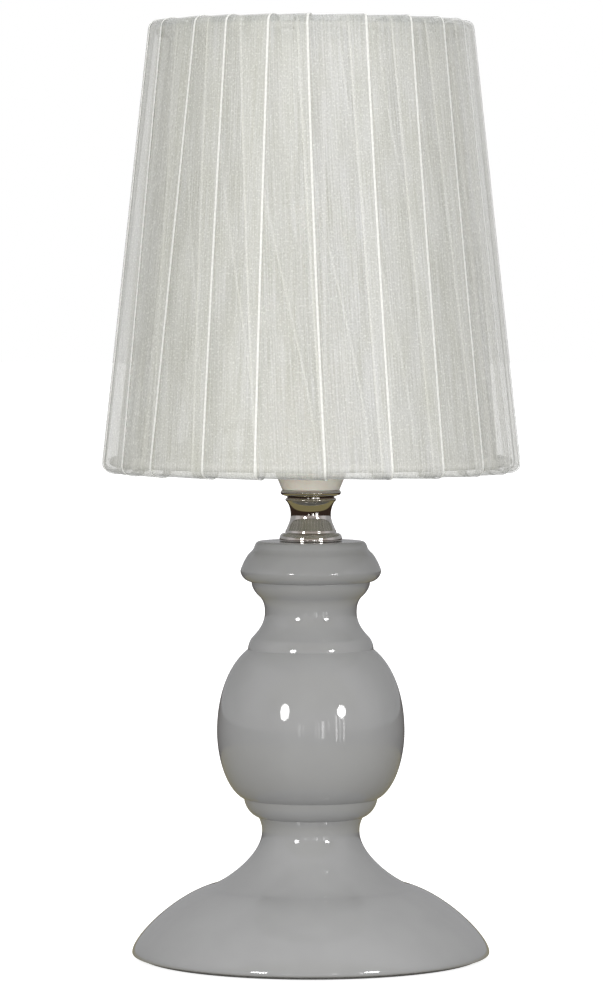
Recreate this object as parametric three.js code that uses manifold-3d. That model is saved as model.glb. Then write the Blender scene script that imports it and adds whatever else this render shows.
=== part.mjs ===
// Bedside lamp: a glazed ceramic body, a chromed neck, a small screw lamp holder with its bulb, and a conical
// shade made of one ribbon wound over a wire frame.
// Millimetres, +Z up. The origin is the centre of the underside, on the table, and +Z is the lamp's axis.
// The front of the lamp faces -Y, and the cord would leave at the back, towards +Y.
import * as THREE from 'three';
import { mergeVertices } from 'three/addons/utils/BufferGeometryUtils.js';
import Module from 'manifold-3d';

const wasm = await Module();
wasm.setup();

// Clearances
const SEAT = 0.05; // between faces that rest on each other
const RUN = 0.3; // between pieces that turn, slide or pass through each other
const THREAD_RUN = 0.5; // radial, between a thread and its mate

// Foot pad, a felt disc under the ceramic body
const PAD_T = 1.0;
const PAD_MARGIN = 2.0; // how far its edge stays in from the edge of the flat underside

// Ceramic body: radii, and the height of each stretch of its outline
const FOOT_R = 64.6;
const FOOT_EDGE_H = 0.8; // rounded under-edge
const FOOT_EDGE_IN = 0.9;
const FOOT_DOME_H = 23.7; // from the widest ring up to where the dome turns into the cove
const FOOT_TURN_R = 35.8;
const COVE_H = 19.8;
const WAIST_R = 17.65; // lower waist
const FLARE_H = 5.2; // from the lower waist up to the crease under the bead
const FLARE_R = 18.9;
const LOW_BEAD_R = 23.9;
const LOW_BEAD_H = 6.7;
const BELLY_R = 33.9;
const BELLY_LOW_H = 24.4; // from the bead up to the widest ring
const BELLY_HIGH_H = 29.7; // from the widest ring up to the next bead
const HIGH_BEAD_R = 22.7;
const HIGH_BEAD_H = 4.3;
const THROAT_COVE_H = 9.0;
const THROAT_R = 16.6; // upper waist
const THROAT_FLARE_H = 5.4;
const THROAT_BEAD_R = 21.4; // bead under the collar
const THROAT_BEAD_H = 5.6;
const COLLAR_R = 25.4;
const COLLAR_LOW_H = 3.9;
const COLLAR_HIGH_H = 6.7;
const CROWN_R = 20.3;
const CROWN_H = 4.1;
const CROWN_FLAT_R = 18.4;
const BEAD_EDGE_IN = 1.5; // how far the rounded edge of a bead goes in
const WALL = 5.0;
const CROWN_T = 6.0; // thickness of the crown round its mouth
const FOOT_RIM_W = 6.4; // width of the flat ring under the foot
const LEDGE_H = 14.0; // from the underside up to the ledge that the base plate bears on
const LEDGE_W = 6.5;
const HOLLOW_DRAFT = 0.54; // how far the hollow of the foot closes in for each millimetre up to the ledge
const MOUTH_R = 8.0; // hole in the crown

// Curves of the ceramic body. At a ring where a curve is upright, it stays so for this share of its height.
const UPRIGHT = 0.38;
const DOME_UPRIGHT = 0.22;
// At a slant, it carries on in its direction there by so much outwards and upwards.
const DOME_TURN = [12.5, -3.0];
const COVE_TURN = [-8.2, 2.0];
const FLARE_HEAD = [-0.5, -1.7];
const LOW_BEAD_FOOT = [2.9, 1.0];
const LOW_BEAD_HEAD = [-0.5, -2.6];
const BELLY_FOOT = [6.3, 3.7];
const BELLY_HEAD = [8.0, -6.4];
const THROAT_COVE_FOOT = [-2.6, 2.7];
const THROAT_BEAD_FOOT = [-1.2, -0.9];
const COLLAR_FOOT = [2.4, 0.9];
const COLLAR_HEAD = [1.1, -1.7];
const COLLAR_HOLLOW = [8.4, -4.9];
const FOOT_HOLLOW = [-7.0, 5.0];

// Cord outlet at the back of the foot, with its bush
const OUTLET_H = 7.0; // above the ceramic underside
const OUTLET_R = 4.4;
const OUTLET_BORE_R = 3.2;
const BUSH_LIP_W = 1.0;
const BUSH_LIP_T = 1.5;

// Tie tube, base plate, washer, nut and centring bush
const TUBE_R = 4.85;
const TUBE_BORE_R = 3.5;
const TUBE_BELOW_NUT = 2.0;
const PLATE_T = 2.0;
const PLATE_MARGIN = 1.5; // clearance of its edge to the ceramic wall
const WASHER_R = 12.0;
const WASHER_T = 1.2;
const NUT_FLATS = 14.0;
const NUT_T = 4.0;
const CENTRING_FLANGE_R = 10.2;
const CENTRING_FLANGE_T = 0.8;
const CENTRING_DEPTH = 4.0;

// Chromed neck
const NECK_FLANGE_R = 11.3;
const NECK_FLANGE_H = 2.9;
const NECK_STEP_R = 9.15;
const NECK_STEP_H = 1.1;
const NECK_WAIST_R = 7.27;
const NECK_LOW_H = 5.5;
const NECK_HIGH_H = 4.8;
const NECK_BEAD_RING_R = 9.25;
const NECK_BEAD_RING_H = 1.2;
const NECK_TOP_R = 8.5;
const NECK_TOP_H = 0.5;
const NECK_FLANGE_EDGE_H = 0.9; // upright edge of the flange, under its rounded shoulder
const NECK_WAIST_FOOT = [-1.0, 1.65];
const NECK_WAIST_HEAD = [-1.0, -1.0];
const NECK_BEAD_ROUND = 0.4; // how far the bead's rounding stands out and goes in

// Chromed cup
const CUP_R = 10.9;
const CUP_LIP_R = 0.95; // of the rolled rim's section
const CUP_T = 0.8;
const CUP_H = 2.4;
const CUP_LIP_START = -0.45 * Math.PI; // angle of the rim's section where it leaves the cup
const CUP_LIP_TURN = 1.5 * Math.PI; // how far round the rim is rolled

// Lamp holder: dome, core, contacts, barrel
const DOME_FOOT_R = 10.5;
const DOME_R = 14.0;
const DOME_H = 13.6;
const DOME_WALL = 1.6;
const DOME_FOOT = [1.9, 4.5];
const DOME_HEAD = [0, -5.0];
const DOME_LEDGE_W = 1.4; // width of the ledge that carries the core
const BOSS_R = 8.0;
const BOSS_H = 7.5; // above the foot of the dome
const LOCK_SCREW_R = 1.3;
const LOCK_SCREW_H = 4.6; // above the foot of the dome
const LOCK_SCREW_PROUD = 0.2; // of the boss
const CORE_R = 10.5;
const CORE_FLANGE_R = 12.1;
const CORE_FLANGE_T = 2.0;
const CORE_H = 11.6;
const CONTACT_T = 0.4;
const CONTACT_W = 4.0;
const CONTACT_REACH = 4.2;
const CONTACT_RISE = 2.6;
const CONTACT_FOOT_L = 1.2;
const TERMINAL_X = 6.4;
const TERMINAL_HEAD_R = 2.6;
const TERMINAL_HEAD_T = 1.8;
const TERMINAL_SHANK_R = 1.3;
const TERMINAL_SHANK_H = 5.5;
const BARREL_WALL = 3.1;
const BARREL_SKIRT_H = 5.9; // from the dome up to the flange
const BARREL_FLANGE_R = 17.2;
const BARREL_FLANGE_T = 2.0;
const BARREL_THREAD_R = 13.6; // mean radius of the outer thread
const BARREL_THREAD_A = 0.4; // half of its depth
const BARREL_PLAIN_H = 2.6; // between the flange and the thread, inside the reducer
const BARREL_THREAD_H = 19.4;
const BARREL_LIP_H = 2.0;
const BARREL_LIP_IN = 0.4; // how far the lip stays in from the root of the thread
const RING_PITCH = 2.5;

// Small screw thread of the bulb
const CAP_PITCH = 2.822;
const CAP_R = 6.62; // mean radius of the cap's thread
const CAP_THREAD_A = 0.35;
const SHELL_T = 0.6;
const SHELL_H = 21.0;
const SHELL_THREAD_H = 15.5;
const SHELL_FOOT_R = 5.8; // hole in its foot, round the centre contact

// Bulb
const TIP_R = 2.3;
const TIP_H = 1.2;
const INSULATOR_H = 2.6;
const CAP_THREAD_H = 14.5;
const CAP_SKIRT_R = 7.3;
const CAP_SKIRT_H = 4.0;
const CAP_SHOULDER_H = 0.4; // from the thread up to the skirt
const CAP_WALL = 0.6;
const INSULATOR_FOOT_R = 3.1;
const INSULATOR_IN_CAP = 1.5;
const GLASS_R = 22.5;
const GLASS_WALL = 0.9;
const GLASS_NECK_R = 8.6;
const GLASS_SHOULDER_H = 1.0; // from the skirt of the cap up to the neck
const GLASS_NECK_FOOT = [1.4, 7.0];
const GLASS_BALL_PULL = 17.0; // how far the ball stays upright below its middle
const GLASS_TAIL_DEPTH = 13.5; // of the glass inside the cap
const BULB_L = 78.0;
const STEM_R = 3.0;
const STEM_H = 20.0;
const STEM_FOOT_H = 4.0;
const STEM_TIP_H = 6.0;
const STEM_TIP_R = 2.0;
const LEAD_R = 0.4;
const LEAD_H = 11.0;
const LEAD_X = 1.4; // where a lead leaves the stem
const LEAD_SPREAD = 7.0;
const LEAD_UPRIGHT = 0.2; // share of its height before it leans out
const FILAMENT_R = 0.5;
const FILAMENT_BOW = 3.0;

// Shade: its fitter, wire frame and ribbon
const REDUCER_FLANGE_R = 23.5;
const REDUCER_FLANGE_T = 1.2;
const FITTER_BORE_R = 21.0;
const FITTER_R = 25.5;
const FITTER_T = 1.5;
const SHADE_RING_R = 18.5;
const SHADE_RING_H = 6.0;
const SHADE_RING_FLUTES = 12;
const SHADE_RING_FLUTE_A = 0.35; // half of the depth of its flutes
const SHADE_RING_BEVEL = [-0.8, 0.6]; // in and up
const RING_WIRE_R = 1.5;
const STRUT_R = 1.0;
const STRUTS = 6;
const ARM_R = 1.5;
const ARMS = 3;
const ARM_BEND_OUT = 8.0; // from the fitter ring to the arm's bend
const ARM_BEND_DROP = 1.2;
const SHADE_BOTTOM_R = 75.3; // outside the ribbon, at the bottom hem
const SHADE_TOP_R = 58.6; // the same, at the top hem
const SHADE_H = 162.6;
const SHADE_DROP = 17.3; // from the underside of the fitter ring down to the bottom hem
const TURNS = 22;
const RIBBON_W = 25.0;
const RIBBON_T = 0.5;
const RIBBON_RUN = 0.6; // between the wires and the ribbon round them
const RIBBON_LAP_GAP = 0.6; // between a turn and the next one, which it laps over
const RIBBON_END = 0.97; // where on the way down its last turn ends, just short of where it began

// Heights above the table, from the sizes above
const UNDERSIDE_Z = PAD_T + SEAT;
const FOOT_EDGE_Z = UNDERSIDE_Z + FOOT_EDGE_H;
const FOOT_TURN_Z = FOOT_EDGE_Z + FOOT_DOME_H;
const WAIST_Z = FOOT_TURN_Z + COVE_H;
const LOW_BEAD_Z = WAIST_Z + FLARE_H;
const BELLY_LOW_Z = LOW_BEAD_Z + LOW_BEAD_H;
const BELLY_Z = BELLY_LOW_Z + BELLY_LOW_H;
const HIGH_BEAD_Z = BELLY_Z + BELLY_HIGH_H;
const THROAT_COVE_Z = HIGH_BEAD_Z + HIGH_BEAD_H;
const THROAT_Z = THROAT_COVE_Z + THROAT_COVE_H;
const THROAT_BEAD_Z = THROAT_Z + THROAT_FLARE_H;
const COLLAR_LOW_Z = THROAT_BEAD_Z + THROAT_BEAD_H;
const COLLAR_Z = COLLAR_LOW_Z + COLLAR_LOW_H;
const CROWN_Z = COLLAR_Z + COLLAR_HIGH_H;
const BODY_TOP_Z = CROWN_Z + CROWN_H;
const LEDGE_Z = UNDERSIDE_Z + LEDGE_H;
const OUTLET_Z = UNDERSIDE_Z + OUTLET_H;
const PLATE_Z = LEDGE_Z - SEAT - PLATE_T;
const WASHER_Z = PLATE_Z - SEAT - WASHER_T;
const NUT_Z = WASHER_Z - SEAT - NUT_T;
const NECK_Z = BODY_TOP_Z + SEAT;
const NECK_H = NECK_FLANGE_H + NECK_STEP_H + NECK_LOW_H + NECK_HIGH_H + NECK_BEAD_RING_H + NECK_TOP_H;
const CUP_Z = NECK_Z + NECK_H + SEAT;
const DOME_Z = CUP_Z + CUP_H + SEAT;
const BOSS_FOOT_Z = CUP_Z + CUP_T + SEAT;
const DOME_TOP_Z = DOME_Z + DOME_H;
const CORE_Z = DOME_TOP_Z - RUN - CORE_FLANGE_T;
const CORE_TOP_Z = CORE_Z + CORE_H;
const BARREL_Z = DOME_TOP_Z + SEAT;
const BARREL_FLANGE_Z = BARREL_Z + BARREL_SKIRT_H;
const BARREL_SEAT_Z = BARREL_FLANGE_Z + BARREL_FLANGE_T; // top of the flange, where the reducer rests
const BARREL_TOP_Z = BARREL_SEAT_Z + BARREL_PLAIN_H + BARREL_THREAD_H + BARREL_LIP_H;
const SHELL_Z = CORE_TOP_Z + SEAT;
const BULB_Z = CORE_TOP_Z + SEAT + CONTACT_T + CONTACT_RISE + RUN;
const REDUCER_Z = BARREL_SEAT_Z + RUN;
const FITTER_Z = REDUCER_Z + REDUCER_FLANGE_T + RUN;
const SHADE_RING_Z = FITTER_Z + FITTER_T + RUN;
const SHADE_BOTTOM_Z = FITTER_Z - SHADE_DROP;
const SHADE_TOP_Z = SHADE_BOTTOM_Z + SHADE_H;

// Radii and angles worked out from the sizes above
const TUBE_HOLE_R = TUBE_R + RUN;
const PITCH_ANGLE = (2 * Math.PI) / TURNS;
const LAP_RISE = RIBBON_LAP_GAP + RIBBON_T; // how much a turn lies outside the next one

// Facets: sides of a round, and steps of a curve
const ROUND = 28;
const HOLDER_ROUND = 24;
const SMALL_ROUND = 18;
const SCREW_ROUND = 12;
const WIRE_ROUND = 6;
const BEND_STEPS = 5;
const SHORT_STEPS = 3;
const CORNER_STEPS = 2;
const LIP_STEPS = 7;
const ROWS_PER_PITCH = 4; // of a thread

// A geometry with shared corners, without collapsed triangles, its faces outwards.
function closed(geometry) {
  geometry.deleteAttribute('normal');
  geometry.deleteAttribute('uv');
  const merged = mergeVertices(geometry, 1e-3);
  const corners = merged.index.array;
  const at = merged.attributes.position;
  const point = (i) => new THREE.Vector3().fromBufferAttribute(at, i);
  const kept = [];
  let sixVolumes = 0;
  for (let i = 0; i < corners.length; i += 3) {
    const [a, b, c] = [corners[i], corners[i + 1], corners[i + 2]];
    if (a === b || b === c || c === a) continue;
    kept.push(a, b, c);
    sixVolumes += point(a).dot(point(b).cross(point(c)));
  }
  if (sixVolumes < 0) kept.reverse();
  merged.setIndex(kept);
  return merged;
}

function solid(geometry) {
  const whole = closed(geometry);
  return new wasm.Manifold(
    new wasm.Mesh({
      numProp: 3,
      vertProperties: new Float32Array(whole.attributes.position.array),
      triVerts: new Uint32Array(whole.index.array),
    }),
  );
}

function surface(manifold) {
  const mesh = manifold.getMesh();
  const geometry = new THREE.BufferGeometry();
  geometry.setAttribute('position', new THREE.BufferAttribute(new Float32Array(mesh.vertProperties), 3));
  geometry.setIndex(Array.from(mesh.triVerts));
  return geometry;
}

// The half section of a turned piece, as radius and height.
class Outline {
  constructor(r, z) {
    this.points = [new THREE.Vector2(r, z)];
  }

  get end() {
    return this.points[this.points.length - 1];
  }

  to(r, z) {
    this.points.push(new THREE.Vector2(r, z));
    return this;
  }

  // A curve to (r, z). Each pull is the way outwards and upwards from that end to the curve's handle.
  bend(startPull, r, z, endPull, steps = BEND_STEPS) {
    const start = this.end.clone();
    const end = new THREE.Vector2(r, z);
    const startHandle = new THREE.Vector2(...startPull).add(start);
    const endHandle = new THREE.Vector2(...endPull).add(end);
    const curve = new THREE.CubicBezierCurve(start, startHandle, endHandle, end);
    this.points.push(...curve.getPoints(steps).slice(1));
    return this;
  }

  // A curve to (r, z) that is tangent to both sides of the corner (rc, zc).
  corner(rc, zc, r, z, steps = CORNER_STEPS) {
    const curve = new THREE.QuadraticBezierCurve(
      this.end.clone(),
      new THREE.Vector2(rc, zc),
      new THREE.Vector2(r, z),
    );
    this.points.push(...curve.getPoints(steps).slice(1));
    return this;
  }

  // An upright stretch in even steps, for a thread to be pressed into.
  threadWall(r, z, pitch) {
    const from = this.end.clone();
    const count = Math.round((ROWS_PER_PITCH * Math.abs(z - from.y)) / pitch);
    for (let i = 1; i <= count; i += 1) {
      this.points.push(from.clone().lerp(new THREE.Vector2(r, z), i / count));
    }
    return this;
  }

  close() {
    this.points.push(this.points[0].clone());
    return this;
  }
}

function turned(outline, sides = ROUND) {
  return new THREE.LatheGeometry(outline.points, sides).rotateX(Math.PI / 2);
}

// A plain ring or disc of one thickness.
function washer(boreR, outerR, z, thickness, sides = ROUND) {
  const top = z + thickness;
  return turned(new Outline(boreR, z).to(outerR, z).to(outerR, top).to(boreR, top).close(), sides);
}

function disc(outerR, z, thickness, sides = ROUND) {
  const top = z + thickness;
  return turned(new Outline(0, z).to(outerR, z).to(outerR, top).to(0, top), sides);
}

// Presses a right-hand thread into the wall at radius r between two heights, where it has rows of points.
// The thread fades out over half a turn at each end. Heights are the piece's own, and its origin is at baseZ.
function thread(geometry, r, depth, pitch, fromZ, toZ, baseZ = 0) {
  const at = geometry.attributes.position;
  const tolerance = 0.01;
  for (let i = 0; i < at.count; i += 1) {
    const z = at.getZ(i);
    const radius = Math.hypot(at.getX(i), at.getY(i));
    if (Math.abs(radius - r) > tolerance || z <= fromZ || z >= toZ) continue;
    const angle = Math.atan2(at.getY(i), at.getX(i));
    const fade = Math.min(1, (z - fromZ) / (pitch / 2), (toZ - z) / (pitch / 2));
    const grown = r + fade * depth * Math.cos((2 * Math.PI * (z + baseZ)) / pitch - angle);
    at.setXY(i, grown * Math.cos(angle), grown * Math.sin(angle));
  }
  return geometry;
}

// A round bar along +Y, from y0 to y1 at a height.
function crossBar(r, y0, y1, z, sides = SMALL_ROUND) {
  return new THREE.CylinderGeometry(r, r, y1 - y0, sides).translate(0, (y0 + y1) / 2, z);
}

// A round wire along a list of points, joined by straight or curved stretches.
function wire(points, r, steps, sides = WIRE_ROUND) {
  const section = new THREE.Shape();
  section.absarc(0, 0, r, 0, 2 * Math.PI, false);
  const path = points.length > 2 ? new THREE.CatmullRomCurve3(points) : new THREE.LineCurve3(...points);
  return new THREE.ExtrudeGeometry(section, {
    curveSegments: sides / 2,
    steps,
    extrudePath: path,
    bevelEnabled: false,
  });
}

const aroundAxis = (r, angle, z) => new THREE.Vector3(r * Math.cos(angle), r * Math.sin(angle), z);

// Ceramic body

// The foot's dome, from its rounded under-edge up to where it turns into the cove.
function footDome(outline, grow) {
  const rimR = FOOT_R - FOOT_EDGE_IN + grow;
  const edgeR = FOOT_R + grow;
  return outline
    .to(rimR, UNDERSIDE_Z)
    .corner(edgeR, UNDERSIDE_Z, edgeR, FOOT_EDGE_Z)
    .bend([0, DOME_UPRIGHT * FOOT_DOME_H], FOOT_TURN_R + grow, FOOT_TURN_Z, DOME_TURN);
}

const FOOT_HOLLOW_R = FOOT_R - FOOT_EDGE_IN - FOOT_RIM_W;
const LEDGE_R = FOOT_HOLLOW_R - HOLLOW_DRAFT * LEDGE_H; // where the ledge meets the sloping wall

// From the turn of the foot up to the flat crown.
function bodyOutside(outline) {
  return outline
    .bend(COVE_TURN, WAIST_R, WAIST_Z, [0, -UPRIGHT * COVE_H])
    .bend([0, UPRIGHT * FLARE_H], FLARE_R, LOW_BEAD_Z, FLARE_HEAD, SHORT_STEPS)
    .bend(LOW_BEAD_FOOT, LOW_BEAD_R, BELLY_LOW_Z, LOW_BEAD_HEAD, SHORT_STEPS)
    .bend(BELLY_FOOT, BELLY_R, BELLY_Z, [0, -UPRIGHT * BELLY_LOW_H])
    .bend([0, UPRIGHT * BELLY_HIGH_H], HIGH_BEAD_R, HIGH_BEAD_Z, BELLY_HEAD)
    .corner(HIGH_BEAD_R, THROAT_COVE_Z, HIGH_BEAD_R - BEAD_EDGE_IN, THROAT_COVE_Z)
    .bend(THROAT_COVE_FOOT, THROAT_R, THROAT_Z, [0, -UPRIGHT * THROAT_COVE_H], SHORT_STEPS)
    .bend(
      [0, UPRIGHT * THROAT_FLARE_H],
      THROAT_BEAD_R - 2 * BEAD_EDGE_IN,
      THROAT_BEAD_Z,
      THROAT_BEAD_FOOT,
      SHORT_STEPS,
    )
    .corner(THROAT_BEAD_R, THROAT_BEAD_Z + THROAT_BEAD_H / 2, THROAT_BEAD_R, COLLAR_LOW_Z)
    .bend(COLLAR_FOOT, COLLAR_R, COLLAR_Z, [0, -UPRIGHT * COLLAR_LOW_H], SHORT_STEPS)
    .bend([0, UPRIGHT * COLLAR_HIGH_H], CROWN_R + BEAD_EDGE_IN, CROWN_Z, COLLAR_HEAD, SHORT_STEPS)
    .to(CROWN_R, CROWN_Z + BEAD_EDGE_IN)
    .corner(CROWN_R, BODY_TOP_Z, CROWN_FLAT_R, BODY_TOP_Z);
}

// From the mouth in the crown down to the ledge in the foot, a wall's thickness inside the outside.
function bodyInside(outline) {
  const [throatR, bellyR, waistR] = [THROAT_R - WALL, BELLY_R - WALL, WAIST_R - WALL];
  return outline
    .to(MOUTH_R, BODY_TOP_Z)
    .to(MOUTH_R, BODY_TOP_Z - CROWN_T)
    .bend(COLLAR_HOLLOW, throatR, THROAT_Z, [0, THROAT_FLARE_H], SHORT_STEPS)
    .bend([0, -THROAT_COVE_H - HIGH_BEAD_H], bellyR, BELLY_Z, [0, BELLY_HIGH_H / 2], SHORT_STEPS)
    .bend([0, -BELLY_LOW_H / 2], waistR, WAIST_Z, [0, FLARE_H + LOW_BEAD_H], SHORT_STEPS)
    .bend([0, -COVE_H / 2], LEDGE_R - LEDGE_W, LEDGE_Z, FOOT_HOLLOW, SHORT_STEPS)
    .to(LEDGE_R, LEDGE_Z);
}

function ceramicBody() {
  const foot = footDome(new Outline(FOOT_HOLLOW_R, UNDERSIDE_Z), 0);
  const section = bodyInside(bodyOutside(foot)).close();
  return surface(solid(turned(section)).subtract(solid(crossBar(OUTLET_R, 0, 2 * FOOT_R, OUTLET_Z))));
}

// The wall of the foot round the outlet, with its outer and inner faces moved out by grow.
function footWall(grow) {
  const outer = footDome(new Outline(0, UNDERSIDE_Z), grow).to(0, FOOT_TURN_Z);
  const inner = new Outline(0, UNDERSIDE_Z)
    .to(FOOT_HOLLOW_R - grow, UNDERSIDE_Z)
    .to(LEDGE_R - grow, LEDGE_Z)
    .to(0, LEDGE_Z);
  return solid(turned(outer)).subtract(solid(turned(inner)));
}

// A soft bush in the outlet, whose two lips follow the wall of the foot.
function cordBush() {
  const far = 2 * FOOT_R;
  const bar = (r) => solid(crossBar(r, 0, far, OUTLET_Z));
  const plug = footWall(BUSH_LIP_T + SEAT).intersect(bar(OUTLET_R + BUSH_LIP_W));
  const wall = footWall(SEAT).subtract(bar(OUTLET_R - SEAT));
  return surface(plug.subtract(wall).subtract(bar(OUTLET_BORE_R)));
}

// Stack on the tie tube

function nut() {
  const hexagon = new THREE.Shape();
  for (let i = 0; i < 6; i += 1) {
    const angle = (i * Math.PI) / 3;
    const cornerR = NUT_FLATS / Math.sqrt(3);
    const place = [cornerR * Math.cos(angle), cornerR * Math.sin(angle)];
    if (i === 0) hexagon.moveTo(...place);
    else hexagon.lineTo(...place);
  }
  hexagon.closePath();
  const bore = new THREE.Path();
  bore.absarc(0, 0, TUBE_HOLE_R, 0, 2 * Math.PI, true);
  hexagon.holes.push(bore);
  const block = new THREE.ExtrudeGeometry(hexagon, {
    depth: NUT_T,
    bevelEnabled: false,
    curveSegments: SCREW_ROUND / 2,
  });
  return block.translate(0, 0, NUT_Z);
}

function centringBush() {
  const top = BODY_TOP_Z + SEAT + CENTRING_FLANGE_T;
  return turned(
    new Outline(TUBE_HOLE_R, BODY_TOP_Z - CENTRING_DEPTH)
      .to(MOUTH_R - RUN, BODY_TOP_Z - CENTRING_DEPTH)
      .to(MOUTH_R - RUN, BODY_TOP_Z + SEAT)
      .to(CENTRING_FLANGE_R, BODY_TOP_Z + SEAT)
      .to(CENTRING_FLANGE_R, top)
      .to(TUBE_HOLE_R, top)
      .close(),
    SMALL_ROUND,
  );
}

// Chromed neck and cup

function neck() {
  const recessR = CENTRING_FLANGE_R + RUN;
  const recessZ = NECK_Z + CENTRING_FLANGE_T + SEAT;
  const stepZ = NECK_Z + NECK_FLANGE_H;
  const lowZ = stepZ + NECK_STEP_H;
  const waistZ = lowZ + NECK_LOW_H;
  const beadZ = waistZ + NECK_HIGH_H;
  const topZ = beadZ + NECK_BEAD_RING_H;
  const beadR = NECK_BEAD_RING_R - NECK_BEAD_ROUND;
  return turned(
    new Outline(TUBE_HOLE_R, recessZ)
      .to(recessR, recessZ)
      .to(recessR, NECK_Z)
      .to(NECK_FLANGE_R, NECK_Z)
      .to(NECK_FLANGE_R, NECK_Z + NECK_FLANGE_EDGE_H)
      .corner(NECK_FLANGE_R, stepZ, NECK_STEP_R, stepZ, SHORT_STEPS)
      .to(NECK_STEP_R, lowZ)
      .bend(NECK_WAIST_FOOT, NECK_WAIST_R, waistZ, [0, -UPRIGHT * NECK_LOW_H])
      .bend([0, UPRIGHT * NECK_HIGH_H], beadR, beadZ, NECK_WAIST_HEAD)
      .corner(NECK_BEAD_RING_R + NECK_BEAD_ROUND, beadZ + NECK_BEAD_RING_H / 2, beadR, topZ, SHORT_STEPS)
      .to(NECK_TOP_R, topZ)
      .to(NECK_TOP_R, topZ + NECK_TOP_H)
      .to(TUBE_HOLE_R, topZ + NECK_TOP_H)
      .close(),
    SMALL_ROUND,
  );
}

function cup() {
  const lipR = CUP_R - CUP_LIP_R;
  const lipZ = CUP_Z + CUP_H - CUP_LIP_R;
  const outline = new Outline(TUBE_HOLE_R, CUP_Z).to(NECK_TOP_R, CUP_Z);
  for (let i = 0; i <= LIP_STEPS; i += 1) {
    const angle = CUP_LIP_START + (i / LIP_STEPS) * CUP_LIP_TURN;
    outline.to(lipR + CUP_LIP_R * Math.cos(angle), lipZ + CUP_LIP_R * Math.sin(angle));
  }
  outline.to(NECK_TOP_R, CUP_Z + CUP_T).to(TUBE_HOLE_R, CUP_Z + CUP_T).close();
  return turned(outline, SMALL_ROUND);
}

// Lamp holder

const DOME_LEDGE_Z = CORE_Z - SEAT;
const CORE_SEAT_R = CORE_FLANGE_R + RUN;

function holderDome() {
  const ledgeR = CORE_SEAT_R - DOME_LEDGE_W;
  const outline = new Outline(TUBE_HOLE_R, BOSS_FOOT_Z)
    .to(BOSS_R, BOSS_FOOT_Z)
    .to(BOSS_R, DOME_Z)
    .to(DOME_FOOT_R, DOME_Z)
    .bend(DOME_FOOT, DOME_R, DOME_TOP_Z, DOME_HEAD)
    .to(CORE_SEAT_R, DOME_TOP_Z)
    .to(CORE_SEAT_R, DOME_LEDGE_Z)
    .to(ledgeR, DOME_LEDGE_Z)
    .corner(ledgeR, DOME_Z + DOME_H / 2, DOME_FOOT_R - DOME_WALL, DOME_Z + DOME_WALL, SHORT_STEPS)
    .to(BOSS_R, DOME_Z + DOME_WALL)
    .to(BOSS_R, DOME_Z + BOSS_H)
    .to(TUBE_HOLE_R, DOME_Z + BOSS_H)
    .close();
  const holeEnd = (BOSS_R + DOME_FOOT_R) / 2;
  const screwHole = crossBar(LOCK_SCREW_R + RUN, 0, holeEnd, DOME_Z + LOCK_SCREW_H, SCREW_ROUND);
  return surface(solid(turned(outline, SMALL_ROUND)).subtract(solid(screwHole)));
}

function tubeLockScrew() {
  return crossBar(LOCK_SCREW_R, TUBE_R + RUN, BOSS_R + LOCK_SCREW_PROUD, DOME_Z + LOCK_SCREW_H, SCREW_ROUND);
}

function holderCore() {
  const flangeTop = CORE_Z + CORE_FLANGE_T;
  const block = turned(
    new Outline(0, CORE_Z)
      .to(CORE_FLANGE_R, CORE_Z)
      .to(CORE_FLANGE_R, flangeTop)
      .to(CORE_R, flangeTop)
      .to(CORE_R, CORE_TOP_Z)
      .to(0, CORE_TOP_Z),
    SMALL_ROUND,
  );
  const holeR = TERMINAL_SHANK_R + RUN;
  const hole = (x) =>
    solid(
      new THREE.CylinderGeometry(holeR, holeR, 2 * TERMINAL_SHANK_H, SCREW_ROUND)
        .rotateX(Math.PI / 2)
        .translate(x, 0, CORE_Z + RUN),
    );
  return surface(solid(block).subtract(hole(-TERMINAL_X)).subtract(hole(TERMINAL_X)));
}

// A screw from below, its head under the core.
function terminalScrew(x) {
  const headTop = CORE_Z - SEAT;
  return turned(
    new Outline(0, headTop - TERMINAL_HEAD_T)
      .to(TERMINAL_HEAD_R, headTop - TERMINAL_HEAD_T)
      .to(TERMINAL_HEAD_R, headTop)
      .to(TERMINAL_SHANK_R, headTop)
      .to(TERMINAL_SHANK_R, headTop + TERMINAL_SHANK_H)
      .to(0, headTop + TERMINAL_SHANK_H),
    SCREW_ROUND,
  ).translate(x, 0, 0);
}

// A sprung leaf on the core that bows up to the tip of the bulb.
function centreContact() {
  const top = CONTACT_RISE + CONTACT_T;
  const footX = CONTACT_REACH - CONTACT_FOOT_L;
  const leaf = new THREE.Shape();
  leaf.moveTo(-CONTACT_REACH, 0);
  leaf.lineTo(-footX, 0);
  leaf.bezierCurveTo(-footX / 2, 0, -footX / 2, CONTACT_RISE, 0, CONTACT_RISE);
  leaf.bezierCurveTo(footX / 2, CONTACT_RISE, footX / 2, 0, footX, 0);
  leaf.lineTo(CONTACT_REACH, 0);
  leaf.lineTo(CONTACT_REACH, CONTACT_T);
  leaf.bezierCurveTo(CONTACT_REACH / 2, CONTACT_T, CONTACT_REACH / 2, top, 0, top);
  leaf.bezierCurveTo(-CONTACT_REACH / 2, top, -CONTACT_REACH / 2, CONTACT_T, -CONTACT_REACH, CONTACT_T);
  leaf.closePath();
  return new THREE.ExtrudeGeometry(leaf, { depth: CONTACT_W, bevelEnabled: false, curveSegments: BEND_STEPS })
    .translate(0, 0, -CONTACT_W / 2)
    .rotateX(Math.PI / 2)
    .translate(0, 0, CORE_TOP_Z + SEAT);
}

const SHELL_R = CAP_R + THREAD_RUN; // mean radius of the shell's inner thread
const SHELL_OUTER_R = SHELL_R + CAP_THREAD_A + SHELL_T;

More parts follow.
